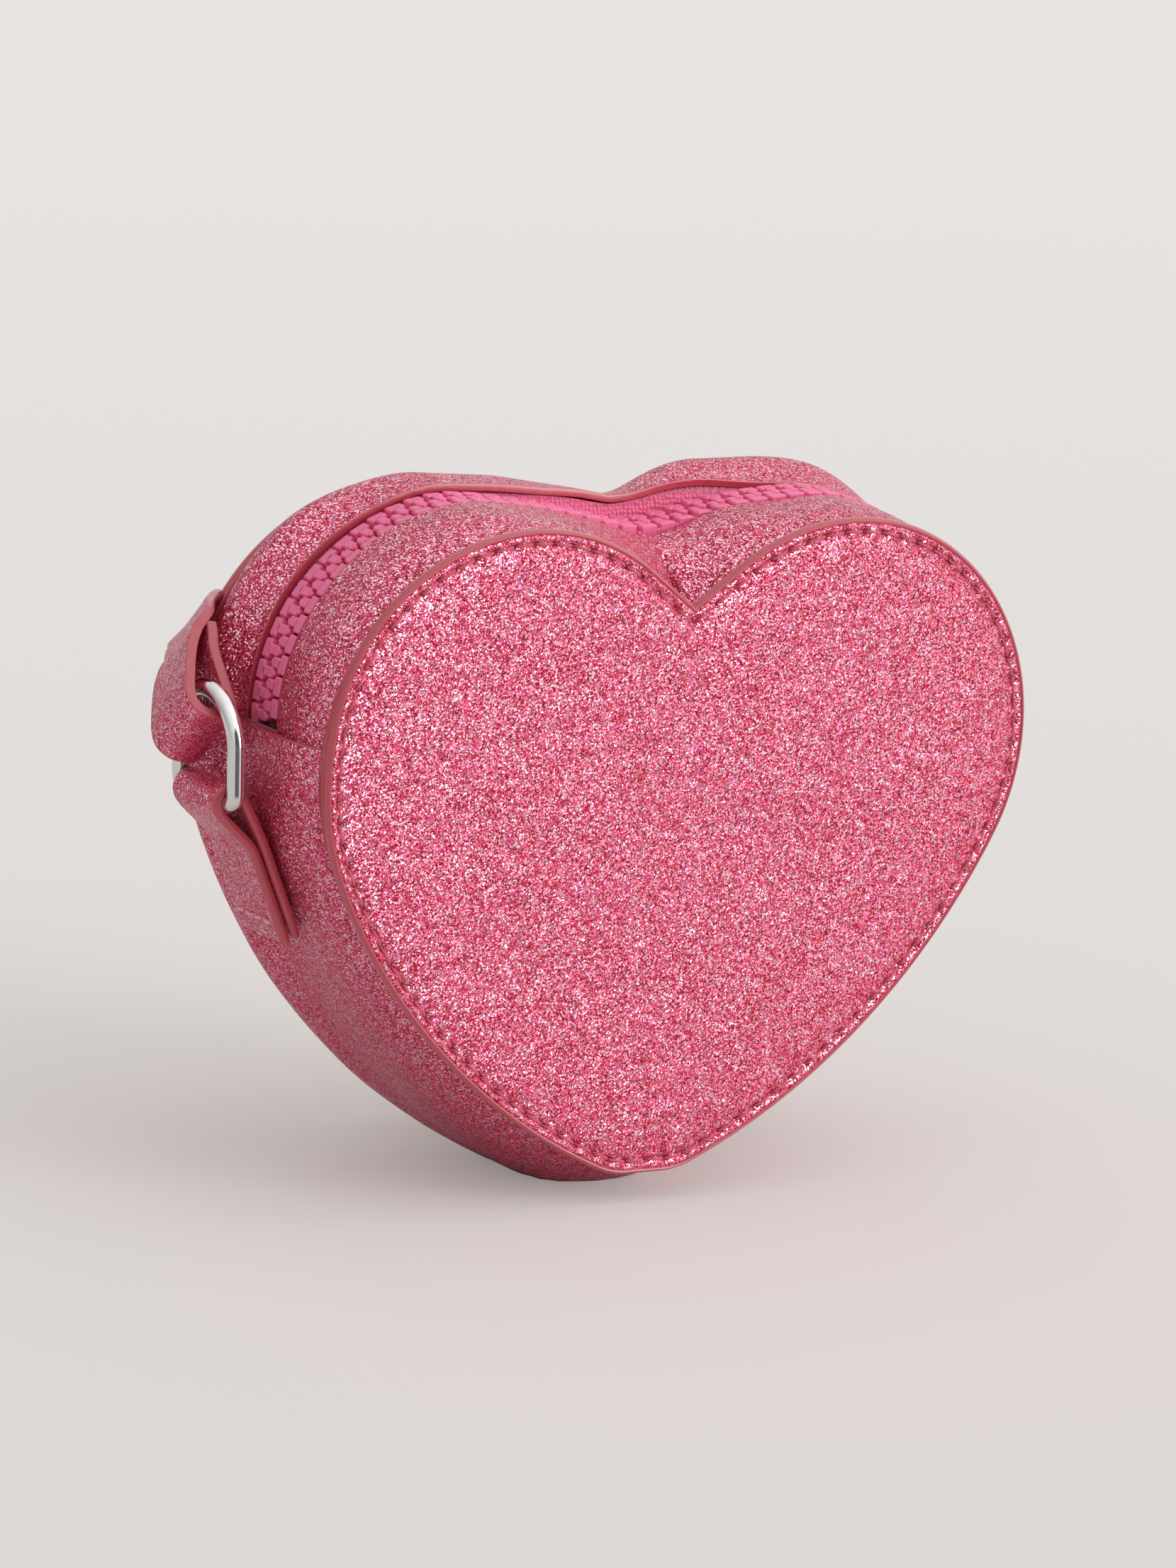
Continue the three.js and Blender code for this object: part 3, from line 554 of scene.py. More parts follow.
# Swells and dips along the zip, each with its height, its place across the bag and its reach.
REAR_EDGE = ((-1.1, 2, 9), (-0.8, 32, 14))
FRONT_EDGE_LEFT = ((1.3, -34, 17), (-3.2, 3, 16))
FRONT_EDGE_RIGHT = ((1.3, -34, 17), (-3.2, 3, 11))
CHAIN_LINE = ((0.8, -34, 12), (-1.1, -62, 13), (-2.8, 3, 14))
VALLEY_X = 3
REAR_LIFT = 2.4
REAR_LIFT_X = -5
REAR_LIFT_REACH = 40
LAP = 2.1
FOLD_STEPS = (LIP_EDGE, 2.3, 2.8)
LIP_TURN = [20.7, 20.2]
WEB_EDGE = 19.4
END_REACH = 9
EDGE_BEAD = 0.92
STRIP_THICK = 1.5
STRIP_BEAD = 0.68
DART_PLACE = 1.1
DART_WIDTH = 0.6
DART_DEPTH = 2.8
DART_OUT = 14.5
DART_REACH = 2.8
STRIP_WAVE = 0.35
STRIP_WAVE_LENGTH = 14
WEB_WAVE = 0.4
WEB_WAVE_LENGTH = 16
WEB_WAVE_FULL = 70
CALM_SEAM = 4
CALM_FOOT = 12
LOWER_SHORT = 0.3
LINING_HALF = 15.7
LINING_GAP = 0.4

panel_end = asin((ZIP_END_HEIGHT - lobe.y) / LOBE_RADIUS)
crown_end = asin((ZIP_END_HEIGHT - CROWN.y) / CROWN_RADIUS)
zip_end_length = cusp_straight + LOBE_RADIUS * (touch_angle - panel_end)
lower_length = half_edge - zip_end_length
crest_x = on_circle(CROWN, CROWN_RADIUS, CREST).x
first_share = on_circle(lobe, LOBE_RADIUS, touch_angle).x / crest_x
lap_x = on_circle(CROWN, CROWN_RADIUS, crown_end).x + LAP
end_bulge = lap_x - on_circle(lobe, LOBE_RADIUS, panel_end).x


def blend_angle(start, end, share):
    return start + (end - start) * share


def panel_top(station, inset):
    """The panel's edge by station: 0 the cusp, 1 the lobe's start, 2 its crest, 3 the zip's end."""
    if station <= 1:
        return panel_edge(station * cusp_straight, inset)
    if station <= 2:
        angle = blend_angle(touch_angle, CREST, station - 1)
    else:
        angle = blend_angle(CREST, panel_end, station - 2)
    return on_circle(lobe, LOBE_RADIUS - inset, angle)


def zip_top(station, inset):
    """The zip line over the same stations."""
    if station > 2:
        return on_circle(CROWN, CROWN_RADIUS - inset, blend_angle(CREST, crown_end, station - 2))
    crest = on_circle(CROWN, CROWN_RADIUS - inset, CREST)
    share = first_share * station
    if station > 1:
        share = first_share + (1 - first_share) * (station - 1)
    return middle_of(crest, VALLEY_SLOPE).lerp(crest, share)


def plumpness(y):
    """How far the leather swells between the zip and the seam: more behind than in front."""
    share = (abs(y) - PILLOW_START) / (DEPTH_FACE - PILLOW_START)
    if share <= 0:
        return 0
    return (PILLOW_FRONT if y < 0 else PILLOW_REAR) * sin(pi * share ** PILLOW_SKEW)


def across_gusset(hand, root, top, y, inset):
    power = FRONT_POWER if y < 0 else REAR_POWER
    rise = 1 - min(1, abs(y) / DEPTH_FACE) ** power
    point = root.lerp(top, rise)
    return Vector((hand * point.x, y, max(point.y, inset)))


def zip_out(station):
    """The direction straight out of the bag at a station of the zip line."""
    angle = blend_angle(CREST, crown_end, max(0, abs(station) - 2))
    return Vector((copysign(1, station) * cos(angle), 0, sin(angle)))


def upper_gusset(station, y, inset):
    away = abs(station)
    root = panel_top(away, SEAM_LIP + inset)
    point = across_gusset(copysign(1, station), root, zip_top(away, inset), y, inset)
    on_flank = min(1, max(0, away - 2) / FLANK_FULL)
    over_top = SWELL_RIGHT if station > 0 else SWELL_LEFT
    up_lobe = min(1, abs(point.x) / SWELL_FULL)
    swell = over_top * up_lobe ** 2 * (3 - 2 * up_lobe) + (1 - over_top) * on_flank
    return point + zip_out(station) * plumpness(y) * swell


def belly_line(length, inset):
    """The lower gusset's middle line at a length from the zip's end."""
    bulge = end_bulge + (BELLY - end_bulge) * length / lower_length
    return panel_edge(zip_end_length + length, inset - bulge)


def lower_gusset(along, y, inset):
    length = lower_length - abs(along)
    root = panel_edge(zip_end_length + length, SEAM_LIP + inset)
    swell = plumpness(y) * (1 - (length / lower_length) ** 2)
    top = belly_line(length, inset)
    out = (top - root).normalized() * swell
    return across_gusset(copysign(1, along), root + out, top + out, y, inset)


def lift_by(swells, x):
    return sum(height * bell(x, middle, reach) for height, middle, reach in swells)


def edge_lift(x, hand):
    """How far the leather beside the zip stands above the zip line, and sinks into the valley."""
    if hand > 0:
        plateau = REAR_LIFT / (1 + ((x - REAR_LIFT_X) / REAR_LIFT_REACH) ** 6)
        return plateau + lift_by(REAR_EDGE, x)
    return lift_by(FRONT_EDGE_LEFT if x < VALLEY_X else FRONT_EDGE_RIGHT, x)


def chain_lift(x):
    """The chain sinks between the plump strips, most of all in the valley."""
    return lift_by(CHAIN_LINE, x)


def near_zip(y):
    """How much of the lift is left at a distance from the zip: none at the seam."""
    return 1 - ((y - ZIP_SLOT) / (DEPTH_FACE - ZIP_SLOT)) ** 2


def away_from_seam(y):
    return min(1, (LIP_TURN[0] - abs(y)) / CALM_SEAM)


def spread(start, end, count):
    return [start + (end - start) * step / count for step in range(count + 1)]


def both_sides(right):
    return [-value for value in reversed(right[1:])] + right


def round_edges(sheet, bead):
    """Rounds the cut edges, whose faces have the second finish, and paints the rounding too."""
    for polygon in sheet.data.polygons:
        polygon.select = polygon.material_index == 1
    with edit_mode():
        bpy.ops.mesh.region_to_loop()
        bpy.ops.mesh.bevel(
            offset=bead * MM, segments=3, profile=0.5, material=1, clamp_overlap=True)


def open_ends(sheet, ends):
    """Takes the cut faces away where a strip runs on into the next piece, so they aren't painted."""
    for polygon in sheet.data.polygons:
        is_end = [
            abs(polygon.normal.dot(across)) < 0.5
            and (polygon.center - middle * MM).length < END_REACH * MM
            for middle, across in ends]
        polygon.select = polygon.material_index == 1 and any(is_end)
    with edit_mode():
        bpy.ops.mesh.delete(type="FACE")


def make_leather(sheet, thickness, offset, bead, ends=()):
    """Gives a strip of two finishes its thickness, and paints its rounded edges with the second."""
    thicken(sheet, thickness, offset, 1)
    bpy.context.tool_settings.mesh_select_mode = (False, False, True)
    open_ends(sheet, ends)
    round_edges(sheet, bead)
    with edit_mode():
        bpy.ops.mesh.select_all(action="SELECT")
        bpy.ops.mesh.fill_holes(sides=0)
    smooth(sheet)


valley_stations = spread(0, 0.2, 10) + spread(0.2, 1, 13)[1:]
zip_stations = both_sides(valley_stations + spread(1, 2, 16)[1:] + spread(2, 3.06, 46)[1:])
strip_steps = LIP_TURN + spread(WEB_EDGE, ZIP_SLOT, 22)


def add_zip_strip(word, hand, draw):
    def on_strip(column, row):
        station = zip_stations[column]
        if row < len(FOLD_STEPS):
            edge = panel_top(abs(station), FOLD_STEPS[row] + draw)
            return (copysign(edge.x, station), hand * DEPTH_FACE, edge.y)
        y = strip_steps[row - len(FOLD_STEPS)]
        zip_x = copysign(zip_top(abs(station), 0).x, station)
        if hand > 0:
            wider = SLOT_WIDER * bell(zip_x, WIDER_PLACE, WIDER_REACH)
            y += wider * max(0, WEB_EDGE - y) / (WEB_EDGE - ZIP_SLOT)
        point = upper_gusset(station, hand * y, 0)
        lift = edge_lift(point.x, hand) * near_zip(y)
        wave = STRIP_WAVE * noise.noise(point / STRIP_WAVE_LENGTH) * away_from_seam(y)
        dart = DART_DEPTH * bell(point.x, DART_PLACE, DART_WIDTH) * bell(y, DART_OUT, DART_REACH)
        return point + zip_out(station) * (lift + wave) - Vector((0, 0, dart))

    rows = len(FOLD_STEPS) + len(strip_steps)
    strip = shaped_sheet(
        f"zip_strip_{word}", len(zip_stations), rows, on_strip, glitter, edge_paint)
    if hand > 0:
        strip.data.flip_normals()
    make_leather(strip, STRIP_THICK, -1, STRIP_BEAD)
    fix(strip, "bag", "glitter", f"zip_gusset_{word}")


add_zip_strip("front", -1, 0)
add_zip_strip("rear", 1, BACK_DRAW)

lower_places = both_sides(spread(0, lower_length - LOWER_SHORT, 72))
web_steps = LIP_TURN + spread(WEB_EDGE, -WEB_EDGE, 30) + [-y for y in reversed(LIP_TURN)]
web_rows = 2 * len(FOLD_STEPS) + len(web_steps)


def on_lower_gusset(column, row):
    along = lower_places[column]
    folds = len(FOLD_STEPS)
    if row < folds or row >= folds + len(web_steps):
        fold = FOLD_STEPS[row] if row < folds else FOLD_STEPS[web_rows - 1 - row]
        draw = BACK_DRAW if row < folds else 0
        edge = panel_edge(zip_end_length + lower_length - abs(along), fold + draw)
        y = DEPTH_FACE if row < folds else -DEPTH_FACE
        return (copysign(edge.x, along), y, edge.y)
    y = web_steps[row - folds]
    point = lower_gusset(along, y, 0)
    wave = WEB_WAVE * noise.noise(point / WEB_WAVE_LENGTH) * away_from_seam(y)
    wave *= min(1, point.z / CALM_FOOT)
    return (point.x * (1 + wave / WEB_WAVE_FULL), point.y, point.z)


lower_strip = shaped_sheet(
    "lower_gusset_leather", len(lower_places), web_rows, on_lower_gusset, glitter, edge_paint)
make_leather(lower_strip, LEATHER, -1, EDGE_BEAD)
fix(lower_strip, "bag", "glitter", "lower_gusset")

lining_steps = spread(-LINING_HALF, LINING_HALF, 12)


def on_gusset_lining(column, row):
    return lower_gusset(lower_places[column], lining_steps[row], LEATHER + LINING_GAP)


gusset_lining = shaped_sheet(
    "gusset_lining_cloth", len(lower_places), len(lining_steps), on_gusset_lining, lining_cloth)
thicken(gusset_lining, LINING_THICK, 0, 0)
fix(gusset_lining, "bag", "lining", "lining_gusset")


# The zip: two woven tapes under the strips' edges, and on them a chunky moulded chain, two rows
# of blocks that stand half a pitch apart so that each tongue reaches between two of the other row.
# The bottom stop at the left end is moulded as three more of them.
TAPE_INSET = 2.3
TAPE_THICK = 0.6
TAPE_EDGE = 0.4
TAPE_SEWN = 13
TAPE_RISE = 0.6
TAPE_PINK = (1, 0.16, 0.34, 1)
CHAIN_PINK = (1, 0.19, 0.39, 1)
TOOTH_PITCH = 4.1
TOOTH_BACK = 4.3
TOOTH_INSET = 0.9
TOOTH_BLOCK = (3.5, 2.1, 2.1)
TOOTH_PLACE = (0, 3.2, 0)
TOOTH_BEVEL = 0.26
TONGUE_STEPS = ((0.35, 0.46, 0.95), (0.35, 1.2, 1), (1.9, 1, 0.95), (0.6, 0.5, 0.85))
NUB_BLOCK = (0.9, 1.2, 1.3)
NUB_PLACE = (TOOTH_PITCH / 2, 3.6, -0.6)
NUB_BEVEL = 0.2
BOTTOM_STOP = 3.1
CHAIN_TOP_GAP = 3.05
SLIDER_ANGLE = radians(28)

valley_length = crest_x / cos(VALLEY_SLOPE)
zip_half = valley_length + CROWN_RADIUS * (CREST - crown_end)
slider_place = valley_length + CROWN_RADIUS * (CREST - SLIDER_ANGLE)


def under_zip(length, inset):
    """A point under the zip line at a length from its middle, and the directions along and out."""
    away = abs(length)
    hand = copysign(1, length)
    angle = CREST - max(0, away - valley_length) / CROWN_RADIUS
    out = Vector((cos(angle), sin(angle)))
    along = Vector((out.y, -out.x))
    point = CROWN + out * (CROWN_RADIUS - inset) + along * min(0, away - valley_length)
    return (
        Vector((hand * point.x, 0, point.y)),
        Vector((along.x, 0, hand * along.y)),
        Vector((hand * out.x, 0, out.y)),
    )


tape_cloth = woven_cloth("zip_tape_cloth", TAPE_PINK, thread_size=0.85, depth=0.001)
tape_steps = spread(TAPE_SEWN, ZIP_SLOT + 1, 4) + spread(ZIP_SLOT + TAPE_RISE, TAPE_EDGE, 6)


def add_tape(word, hand):
    def on_tape(column, row):
        station = zip_stations[column]
        y = tape_steps[row]
        point = upper_gusset(station, hand * y, TAPE_INSET)
        by_strip = min(1, max(0, (y - TOOTH_BACK) / (ZIP_SLOT + TAPE_RISE - TOOTH_BACK)))
        lift = chain_lift(point.x)
        beside = edge_lift(point.x, hand) * near_zip(y)
        lift += (beside + LEATHER - STRIP_THICK - lift) * by_strip
        return point + zip_out(station) * lift

    tape = shaped_sheet(
        f"zip_tape_cloth_{word}", len(zip_stations), len(tape_steps), on_tape, tape_cloth)
    if hand > 0:
        tape.data.flip_normals()
    thicken(tape, TAPE_THICK, -1, 0)
    smooth(tape)
    fix(tape, "bag", "tape", f"zip_tape_{word}")


add_tape("front", -1)
add_tape("rear", 1)

chain_plastic = grained_finish(
    "chain_plastic", CHAIN_PINK, roughness=0.38, grain=0.0006, depth=0.00005, more={
        "Subsurface Weight": 0.15, "Subsurface Radius": (0.002, 0.0006, 0.0008),
        "Subsurface Scale": 0.5})


def add_block(size, place):
    deselect()
    bpy.ops.mesh.primitive_cube_add(size=1)
    with edit_mode():
        bpy.ops.mesh.select_all(action="SELECT")
        bpy.ops.transform.resize(value=size)
        bpy.ops.transform.translate(value=place)
    return bpy.context.object


def one_tooth():
    """A bevelled block with a narrower tongue, and a nub beside it, with X along the chain."""
    tooth = add_block(TOOTH_BLOCK, TOOTH_PLACE)
    for polygon in tooth.data.polygons:
        polygon.select = polygon.normal.y < -0.9
    with edit_mode():
        for step, narrower, lower in TONGUE_STEPS:
            bpy.ops.mesh.extrude_region_move(TRANSFORM_OT_translate={"value": (0, -step, 0)})
            bpy.ops.transform.resize(value=(narrower, 1, lower))
        bpy.ops.mesh.select_all(action="SELECT")
        bpy.ops.mesh.bevel(offset=TOOTH_BEVEL, segments=1, affect="EDGES", clamp_overlap=True)
    nub = add_block(NUB_BLOCK, NUB_PLACE)
    with edit_mode():
        bpy.ops.mesh.bevel(offset=NUB_BEVEL, segments=1, affect="EDGES")
    select_only(tooth, nub)
    bpy.ops.object.join()
    return tooth


def tooth_place(hand, pitches):
    """Where a tooth stands, counted in pitches from the chain's left end."""
    length = BOTTOM_STOP - zip_half + pitches * TOOTH_PITCH
    point, along, out = under_zip(length, TOOTH_INSET)
    return set_on(point + out * chain_lift(point.x), along * -hand, out)


def add_teeth(name, places, pattern, node):
    row = join_copies(name, pattern, places)
    row.data.materials.append(chain_plastic)
    smooth(row, 35)
    fix(row, "bag", "teeth", node)


chain_length = slider_place + CHAIN_TOP_GAP + zip_half - BOTTOM_STOP
tooth_count = int(chain_length / TOOTH_PITCH - 0.5)
tooth_pattern = one_tooth()
front_row = [tooth_place(-1, index + 0.5) for index in range(tooth_count)]
rear_row = [tooth_place(1, index + 1) for index in range(tooth_count)]
add_teeth("zip_chain_front", front_row, tooth_pattern, "zip_teeth_front")
add_teeth("zip_chain_rear", rear_row, tooth_pattern, "zip_teeth_rear")
last_teeth = [tooth_place(1, 0), tooth_place(-1, -0.5), tooth_place(-1, -1.5)]
add_teeth("zip_bottom_stop_moulded", last_teeth, tooth_pattern, "zip_bottom_stop")
bpy.data.objects.remove(tooth_pattern)


# The zip's two top stops are moulded on the tapes past the chain's right end. The slider is cast and
# plated, and its pull tab, cast too, hangs from the arch on its back.
CHROME_TINT = (0.95, 0.95, 0.955, 1)
STOP_BEVEL = 0.4
SLIDER_BEVEL = 0.25
PULLER_BEVEL = 0.3
SHARP_DEGREES = 40

chrome = grained_finish(
    "chrome", CHROME_TINT, roughness=0.09, grain=0.004, depth=0.00001, more={"Metallic": 1})


def bevelled_copy(node, width, finish, body, slot):
    """A rounded copy of a hard part, in its place."""
    copy = frame["nodes"][node].copy()
    copy.data = frame["nodes"][node].data.copy()
    for tag in list(copy.keys()):
        del copy[tag]
    copy.parent = None
    copy.name = f"{node}_finished"
    bpy.context.collection.objects.link(copy)
    merge_and_turn_out(copy)
    bpy.ops.object.modifier_add(type="BEVEL")
    bevel = copy.modifiers[-1]
    bevel.width = width * MM
    bevel.segments = 3
    bevel.limit_method = "ANGLE"
    bevel.angle_limit = radians(SHARP_DEGREES)
    bpy.ops.object.modifier_apply(modifier=bevel.name)
    copy.data.materials.clear()
    copy.data.materials.append(finish)
    smooth(copy, SHARP_DEGREES)
    fix(copy, body, slot, node)


for stop in ("zip_top_stop_front", "zip_top_stop_rear"):
    bevelled_copy(stop, STOP_BEVEL, chain_plastic, "bag", "teeth")
bevelled_copy("zip_slider", SLIDER_BEVEL, chrome, "slider", "metal")
bevelled_copy("zip_puller", PULLER_BEVEL, chrome, "puller", "metal")


# Each ring is a D of round wire, bent, welded shut and plated. Its flat bar lies in the tab's fold,
# and the strap's end goes round its bow.
RING_LEAN = radians(4.5)
RING_WIRE = 3
RING_PLATED = 3.3
RING_HALF = 9.5
RING_HEIGHT = 19.5
RING_CORNER = 2.4

swing = next(joint for joint in frame["joints"] if joint["name"] == "right_ring_swing")
bar = Vector(swing["pos_m"]) / MM
ring_up = Vector((sin(RING_LEAN), 0, cos(RING_LEAN)))


def ring_path():
    arcs = (
        (Vector((RING_HALF - RING_CORNER, RING_CORNER)), RING_CORNER, -pi / 2, 0, 8),
        (Vector((0, RING_HEIGHT - RING_HALF)), RING_HALF, 0, pi, 32),
        (Vector((RING_CORNER - RING_HALF, RING_CORNER)), RING_CORNER, pi, 1.5 * pi, 8),
    )
    path = []
    for centre, radius, start, end, count in arcs:
        path += [on_circle(centre, radius, angle) for angle in spread(start, end, count)]
    return path


def add_ring(word, hand):
    curve = bpy.data.curves.new(f"ring_wire_{word}", "CURVE")
    curve.dimensions = "3D"
    curve.bevel_depth = RING_PLATED / 2 * MM
    curve.bevel_resolution = 6
    path = ring_path()
    wire = curve.splines.new("POLY")
    wire.points.add(len(path) - 1)
    wire.use_cyclic_u = True
    for spot, point in zip(wire.points, path):
        place = bar + ring_up * point.y
        spot.co = (hand * place.x * MM, point.x * MM, place.z * MM, 1)
    ring = bpy.data.objects.new(f"ring_wire_{word}", curve)
    bpy.context.collection.objects.link(ring)
    select_only(ring)
    bpy.ops.object.convert(target="MESH")
    ring.data.materials.append(chrome)
    merge_and_turn_out(ring)
    smooth(ring)
    fix(ring, f"{word}_ring", "metal", f"ring_{word}")


add_ring("left", -1)
add_ring("right", 1)


# Each tab is one strip of the strap's leather, folded round the ring's bar. Both its ends lie on
# the gusset, one on the other, and are sewn through together.
TAB_WIDTH = 15
TAB_LAP = 20
TAB_PLACE = 29.5
TAB_REACH = 10.4
ROLL_LIFT = 1.3
GAP = 0.3
ROLL_STEPS = 14
TAB_STEP = 0.8
TAB_PASSES = 6
TAB_STITCHES = (-4.6, -1.6, 1.6, 4.6)
TAB_STITCH_PLACE = -5.4
TAB_STITCH_LENGTH = 2.6
TAB_STITCH_WIDTH = 0.8
TAB_STITCH_RISE = 0.15
TAB_STITCH_TURN = 0.12
TAB_THREAD = (0.85, 0.36, 0.42, 1)

tab_thread = sewing_thread("tab_thread", TAB_THREAD)


def even_path(points, step, passes):
    """The same line with points a step apart, and with its kinks drawn round in several passes."""
    lengths = [0]
    for start, end in zip(points, points[1:]):
        lengths.append(lengths[-1] + (end - start).length)
    count = round(lengths[-1] / step)
    path = []
    span = 0
    for place in spread(0, lengths[-1], count):
        while span < len(points) - 2 and lengths[span + 1] < place:
            span += 1
        share = (place - lengths[span]) / (lengths[span + 1] - lengths[span])
        path.append(points[span].lerp(points[span + 1], share))
    for _ in range(passes):
        drawn = [(a + b * 2 + c) / 4 for a, b, c in zip(path, path[1:], path[2:])]
        path = [path[0]] + drawn + [path[-1]]
    return path


tab_middle = belly_line(TAB_PLACE, 0)
tab_top = belly_line(TAB_PLACE - TAB_LAP / 2, 0)
tab_up = (tab_top - belly_line(TAB_PLACE + TAB_LAP / 2, 0)).normalized()
tab_out = Vector((tab_up.y, -tab_up.x))


def tab_path():
    roll_radius = RING_WIRE / 2 + GAP + LEATHER / 2
    inner = GAP + LEATHER / 2
    outer = inner + LEATHER + GAP
    centre = Vector((TAB_LAP / 2 + TAB_REACH, RING_WIRE / 2 + GAP + LEATHER + ROLL_LIFT))

    def tangent(height, turn):
        way = Vector((TAB_REACH, centre.y - height))
        return atan2(way.y, way.x) + turn * asin(roll_radius / way.length)

    start = tangent(inner, -1) - pi / 2
    end = tangent(outer, 1) + pi / 2
    roll = [on_circle(centre, roll_radius, angle) for angle in spread(start, end, ROLL_STEPS)]
    half = TAB_LAP / 2
    below = [Vector((-half, inner)), Vector((half, inner))]
    above = [Vector((half, outer)), Vector((-half, outer))]
    return even_path(below + roll + above, TAB_STEP, TAB_PASSES)


def add_tab(word, hand):
    path = tab_path()
    across = spread(-TAB_WIDTH / 2, TAB_WIDTH / 2, 10)

    def on_tab(column, row):
        place = tab_middle + tab_up * path[column].x + tab_out * path[column].y
        return (hand * place.x, across[row], place.y)

    tab = shaped_sheet(
        f"anchor_tab_leather_{word}", len(path), len(across), on_tab, glitter, edge_paint)
    make_leather(tab, LEATHER, 0, EDGE_BEAD)
    fix(tab, "bag", "glitter", f"anchor_tab_{word}")


def add_tab_stitching(word, hand, pattern):
    """A row of stitches across the tab's lower end, through both layers."""
    height = 2 * (GAP + LEATHER) + TAB_STITCH_RISE
    spot = tab_middle + tab_up * TAB_STITCH_PLACE + tab_out * height
    out = Vector((hand * tab_out.x, 0, tab_out.y))
    places = []
    for index, y in enumerate(TAB_STITCHES):
        along = Vector((0, 1, TAB_STITCH_TURN * (-1) ** index))
        places.append(set_on(Vector((hand * spot.x, y, spot.y)), along, out))
    add_stitching(f"anchor_tab_stitching_{word}", pattern, places, tab_thread)


tab_stitch = one_stitch(TAB_STITCH_LENGTH, TAB_STITCH_WIDTH)
for tab_word, tab_hand in (("left", -1), ("right", 1)):
    add_tab(tab_word, tab_hand)
    add_tab_stitching(tab_word, tab_hand, tab_stitch)
bpy.data.objects.remove(tab_stitch)


# The strap is a long strip of the same leather with painted edges. Each end goes round a ring and
# is sewn to itself, the strap goes behind the bag from both rings, and the rest is rolled up there.
STRAP_WIDTH = 15
STRAP_PLANE = 34.25
LOOP_TILT = 45
LOOP_MIDDLE = 6.9
# The loop's points are told outward and upward from the top of the ring's bow. Those of the routes are
# told across the bag, behind the roll's plane and up, with the strap's lean in degrees.
LOOP_PATH = (
    (-5.2, 13.8), (-4.8, 11.8), (-3.8, 8.2), (-3.5, 3.5), (-3.4, -0.1), (-3.1, -3.9), (-1.6, -5.7),
    (0.6, -5.6), (2.9, -4.7), (4.3, -2.7), (4.2, -0.3), (3.4, 2.2), (2.4, 4.7), (1.2, 7.5),
    (-0.3, 10.3), (-2.2, 12.9), (-4.6, 15.2),
)
NECK_ROUTE = ((79.2, -14.25, 101.2, 45), (75.8, -9.8, 101.3, 45), (72, -5.45, 100.7, 45))
LEFT_ROUTE = NECK_ROUTE + (
    (65.5, -1.2, 99.2, 45), (57, 0, 96, 38), (46, 0, 90.5, 22), (32, 0, 83.2, 8), (18, 0, 77.1, 0),
    (6, 0, 74, 0),
)
RIGHT_ROUTE = NECK_ROUTE + (
    (66.5, -1.2, 99.5, 40), (61.5, 0, 95.4, 25), (59.1, 0, 88, 8), (58.8, 0, 78, 0), (58.8, 0, 66, 0),
)
COIL_X = 20
COIL_RADIUS = 36
COIL_EYE = 10
COIL_SPACING = 5.6
COIL_TAIL = 15
TURN_STEPS = 40
STEPS = 5
LOOP_END = STEPS * (len(LOOP_PATH) - 1)
NECK_END = LOOP_END + 2 * STEPS - 1
TIE_ANGLE = 1.13
TIE_WIDTH = 9
TIE_INNER = 7.5
TIE_OUTER = 36.9
TIE_THICK = 0.25
TIE_SLACK = 0.2
TIE_STEP = 0.8
TIE_PASSES = 3
TIE_PAPER = (0.8, 0.76, 0.72, 1)

loop_lean = radians(LOOP_TILT)
loop_across = Vector((0, cos(loop_lean), -sin(loop_lean)))
loop_up = Vector((0, sin(loop_lean), cos(loop_lean)))
bow_top = bar + ring_up * RING_HEIGHT


def smooth_path(points, steps):
    """A smooth line through all the points."""
    path = []
    last = len(points) - 1
    for index in range(last):
        before = points[max(index - 1, 0)]
        here = points[index]
        there = points[index + 1]
        after = points[min(index + 2, last)]
        for step in range(steps):
            share = step / steps
            bend = (before * 2 - here * 5 + there * 4 - after) * share ** 2
            twist = (here * 3 - before - there * 3 + after) * share ** 3
            path.append((here * 2 + (there - before) * share + bend + twist) / 2)
    return path + [points[last]]


def on_loop(hand, out, up, across):
    point = bow_top + loop_up * up + loop_across * across
    return Vector((hand * (point.x + out), point.y, point.z))


def strap_line(path):
    """The strap's middles and the directions across it, along points with its lean in degrees."""
    line = []
    for index, point in enumerate(path):
        after = path[min(index + 1, len(path) - 1)]
        before = path[max(index - 1, 0)]
        way = Vector(after[:3]) - Vector(before[:3])
        lean = radians(point[3])
        flat = Vector((0, cos(lean), -sin(lean)))
        across = flat - way * (flat.dot(way) / way.length_squared)
        line.append((Vector(point[:3]), across.normalized()))
    return line


def strap_sheet(name, line, ends):
    rows = spread(-STRAP_WIDTH / 2, STRAP_WIDTH / 2, 10)

    def on_strap(column, row):
        middle, across = line[column]
        return middle + across * rows[row]

    strap = shaped_sheet(name, len(line), len(rows), on_strap, glitter, edge_paint)
    make_leather(strap, LEATHER, 0, EDGE_BEAD, ends)
    return strap


def end_path(hand, route, last):
    """From the sewn end of the strap, round its ring and behind the bag."""
    points = [Vector((*on_loop(hand, out, up, LOOP_MIDDLE), LOOP_TILT)) for out, up in LOOP_PATH]
    points += [Vector((hand * out, STRAP_PLANE + back, up, lean)) for out, back, up, lean in route]
    return smooth_path(points + [last], STEPS)


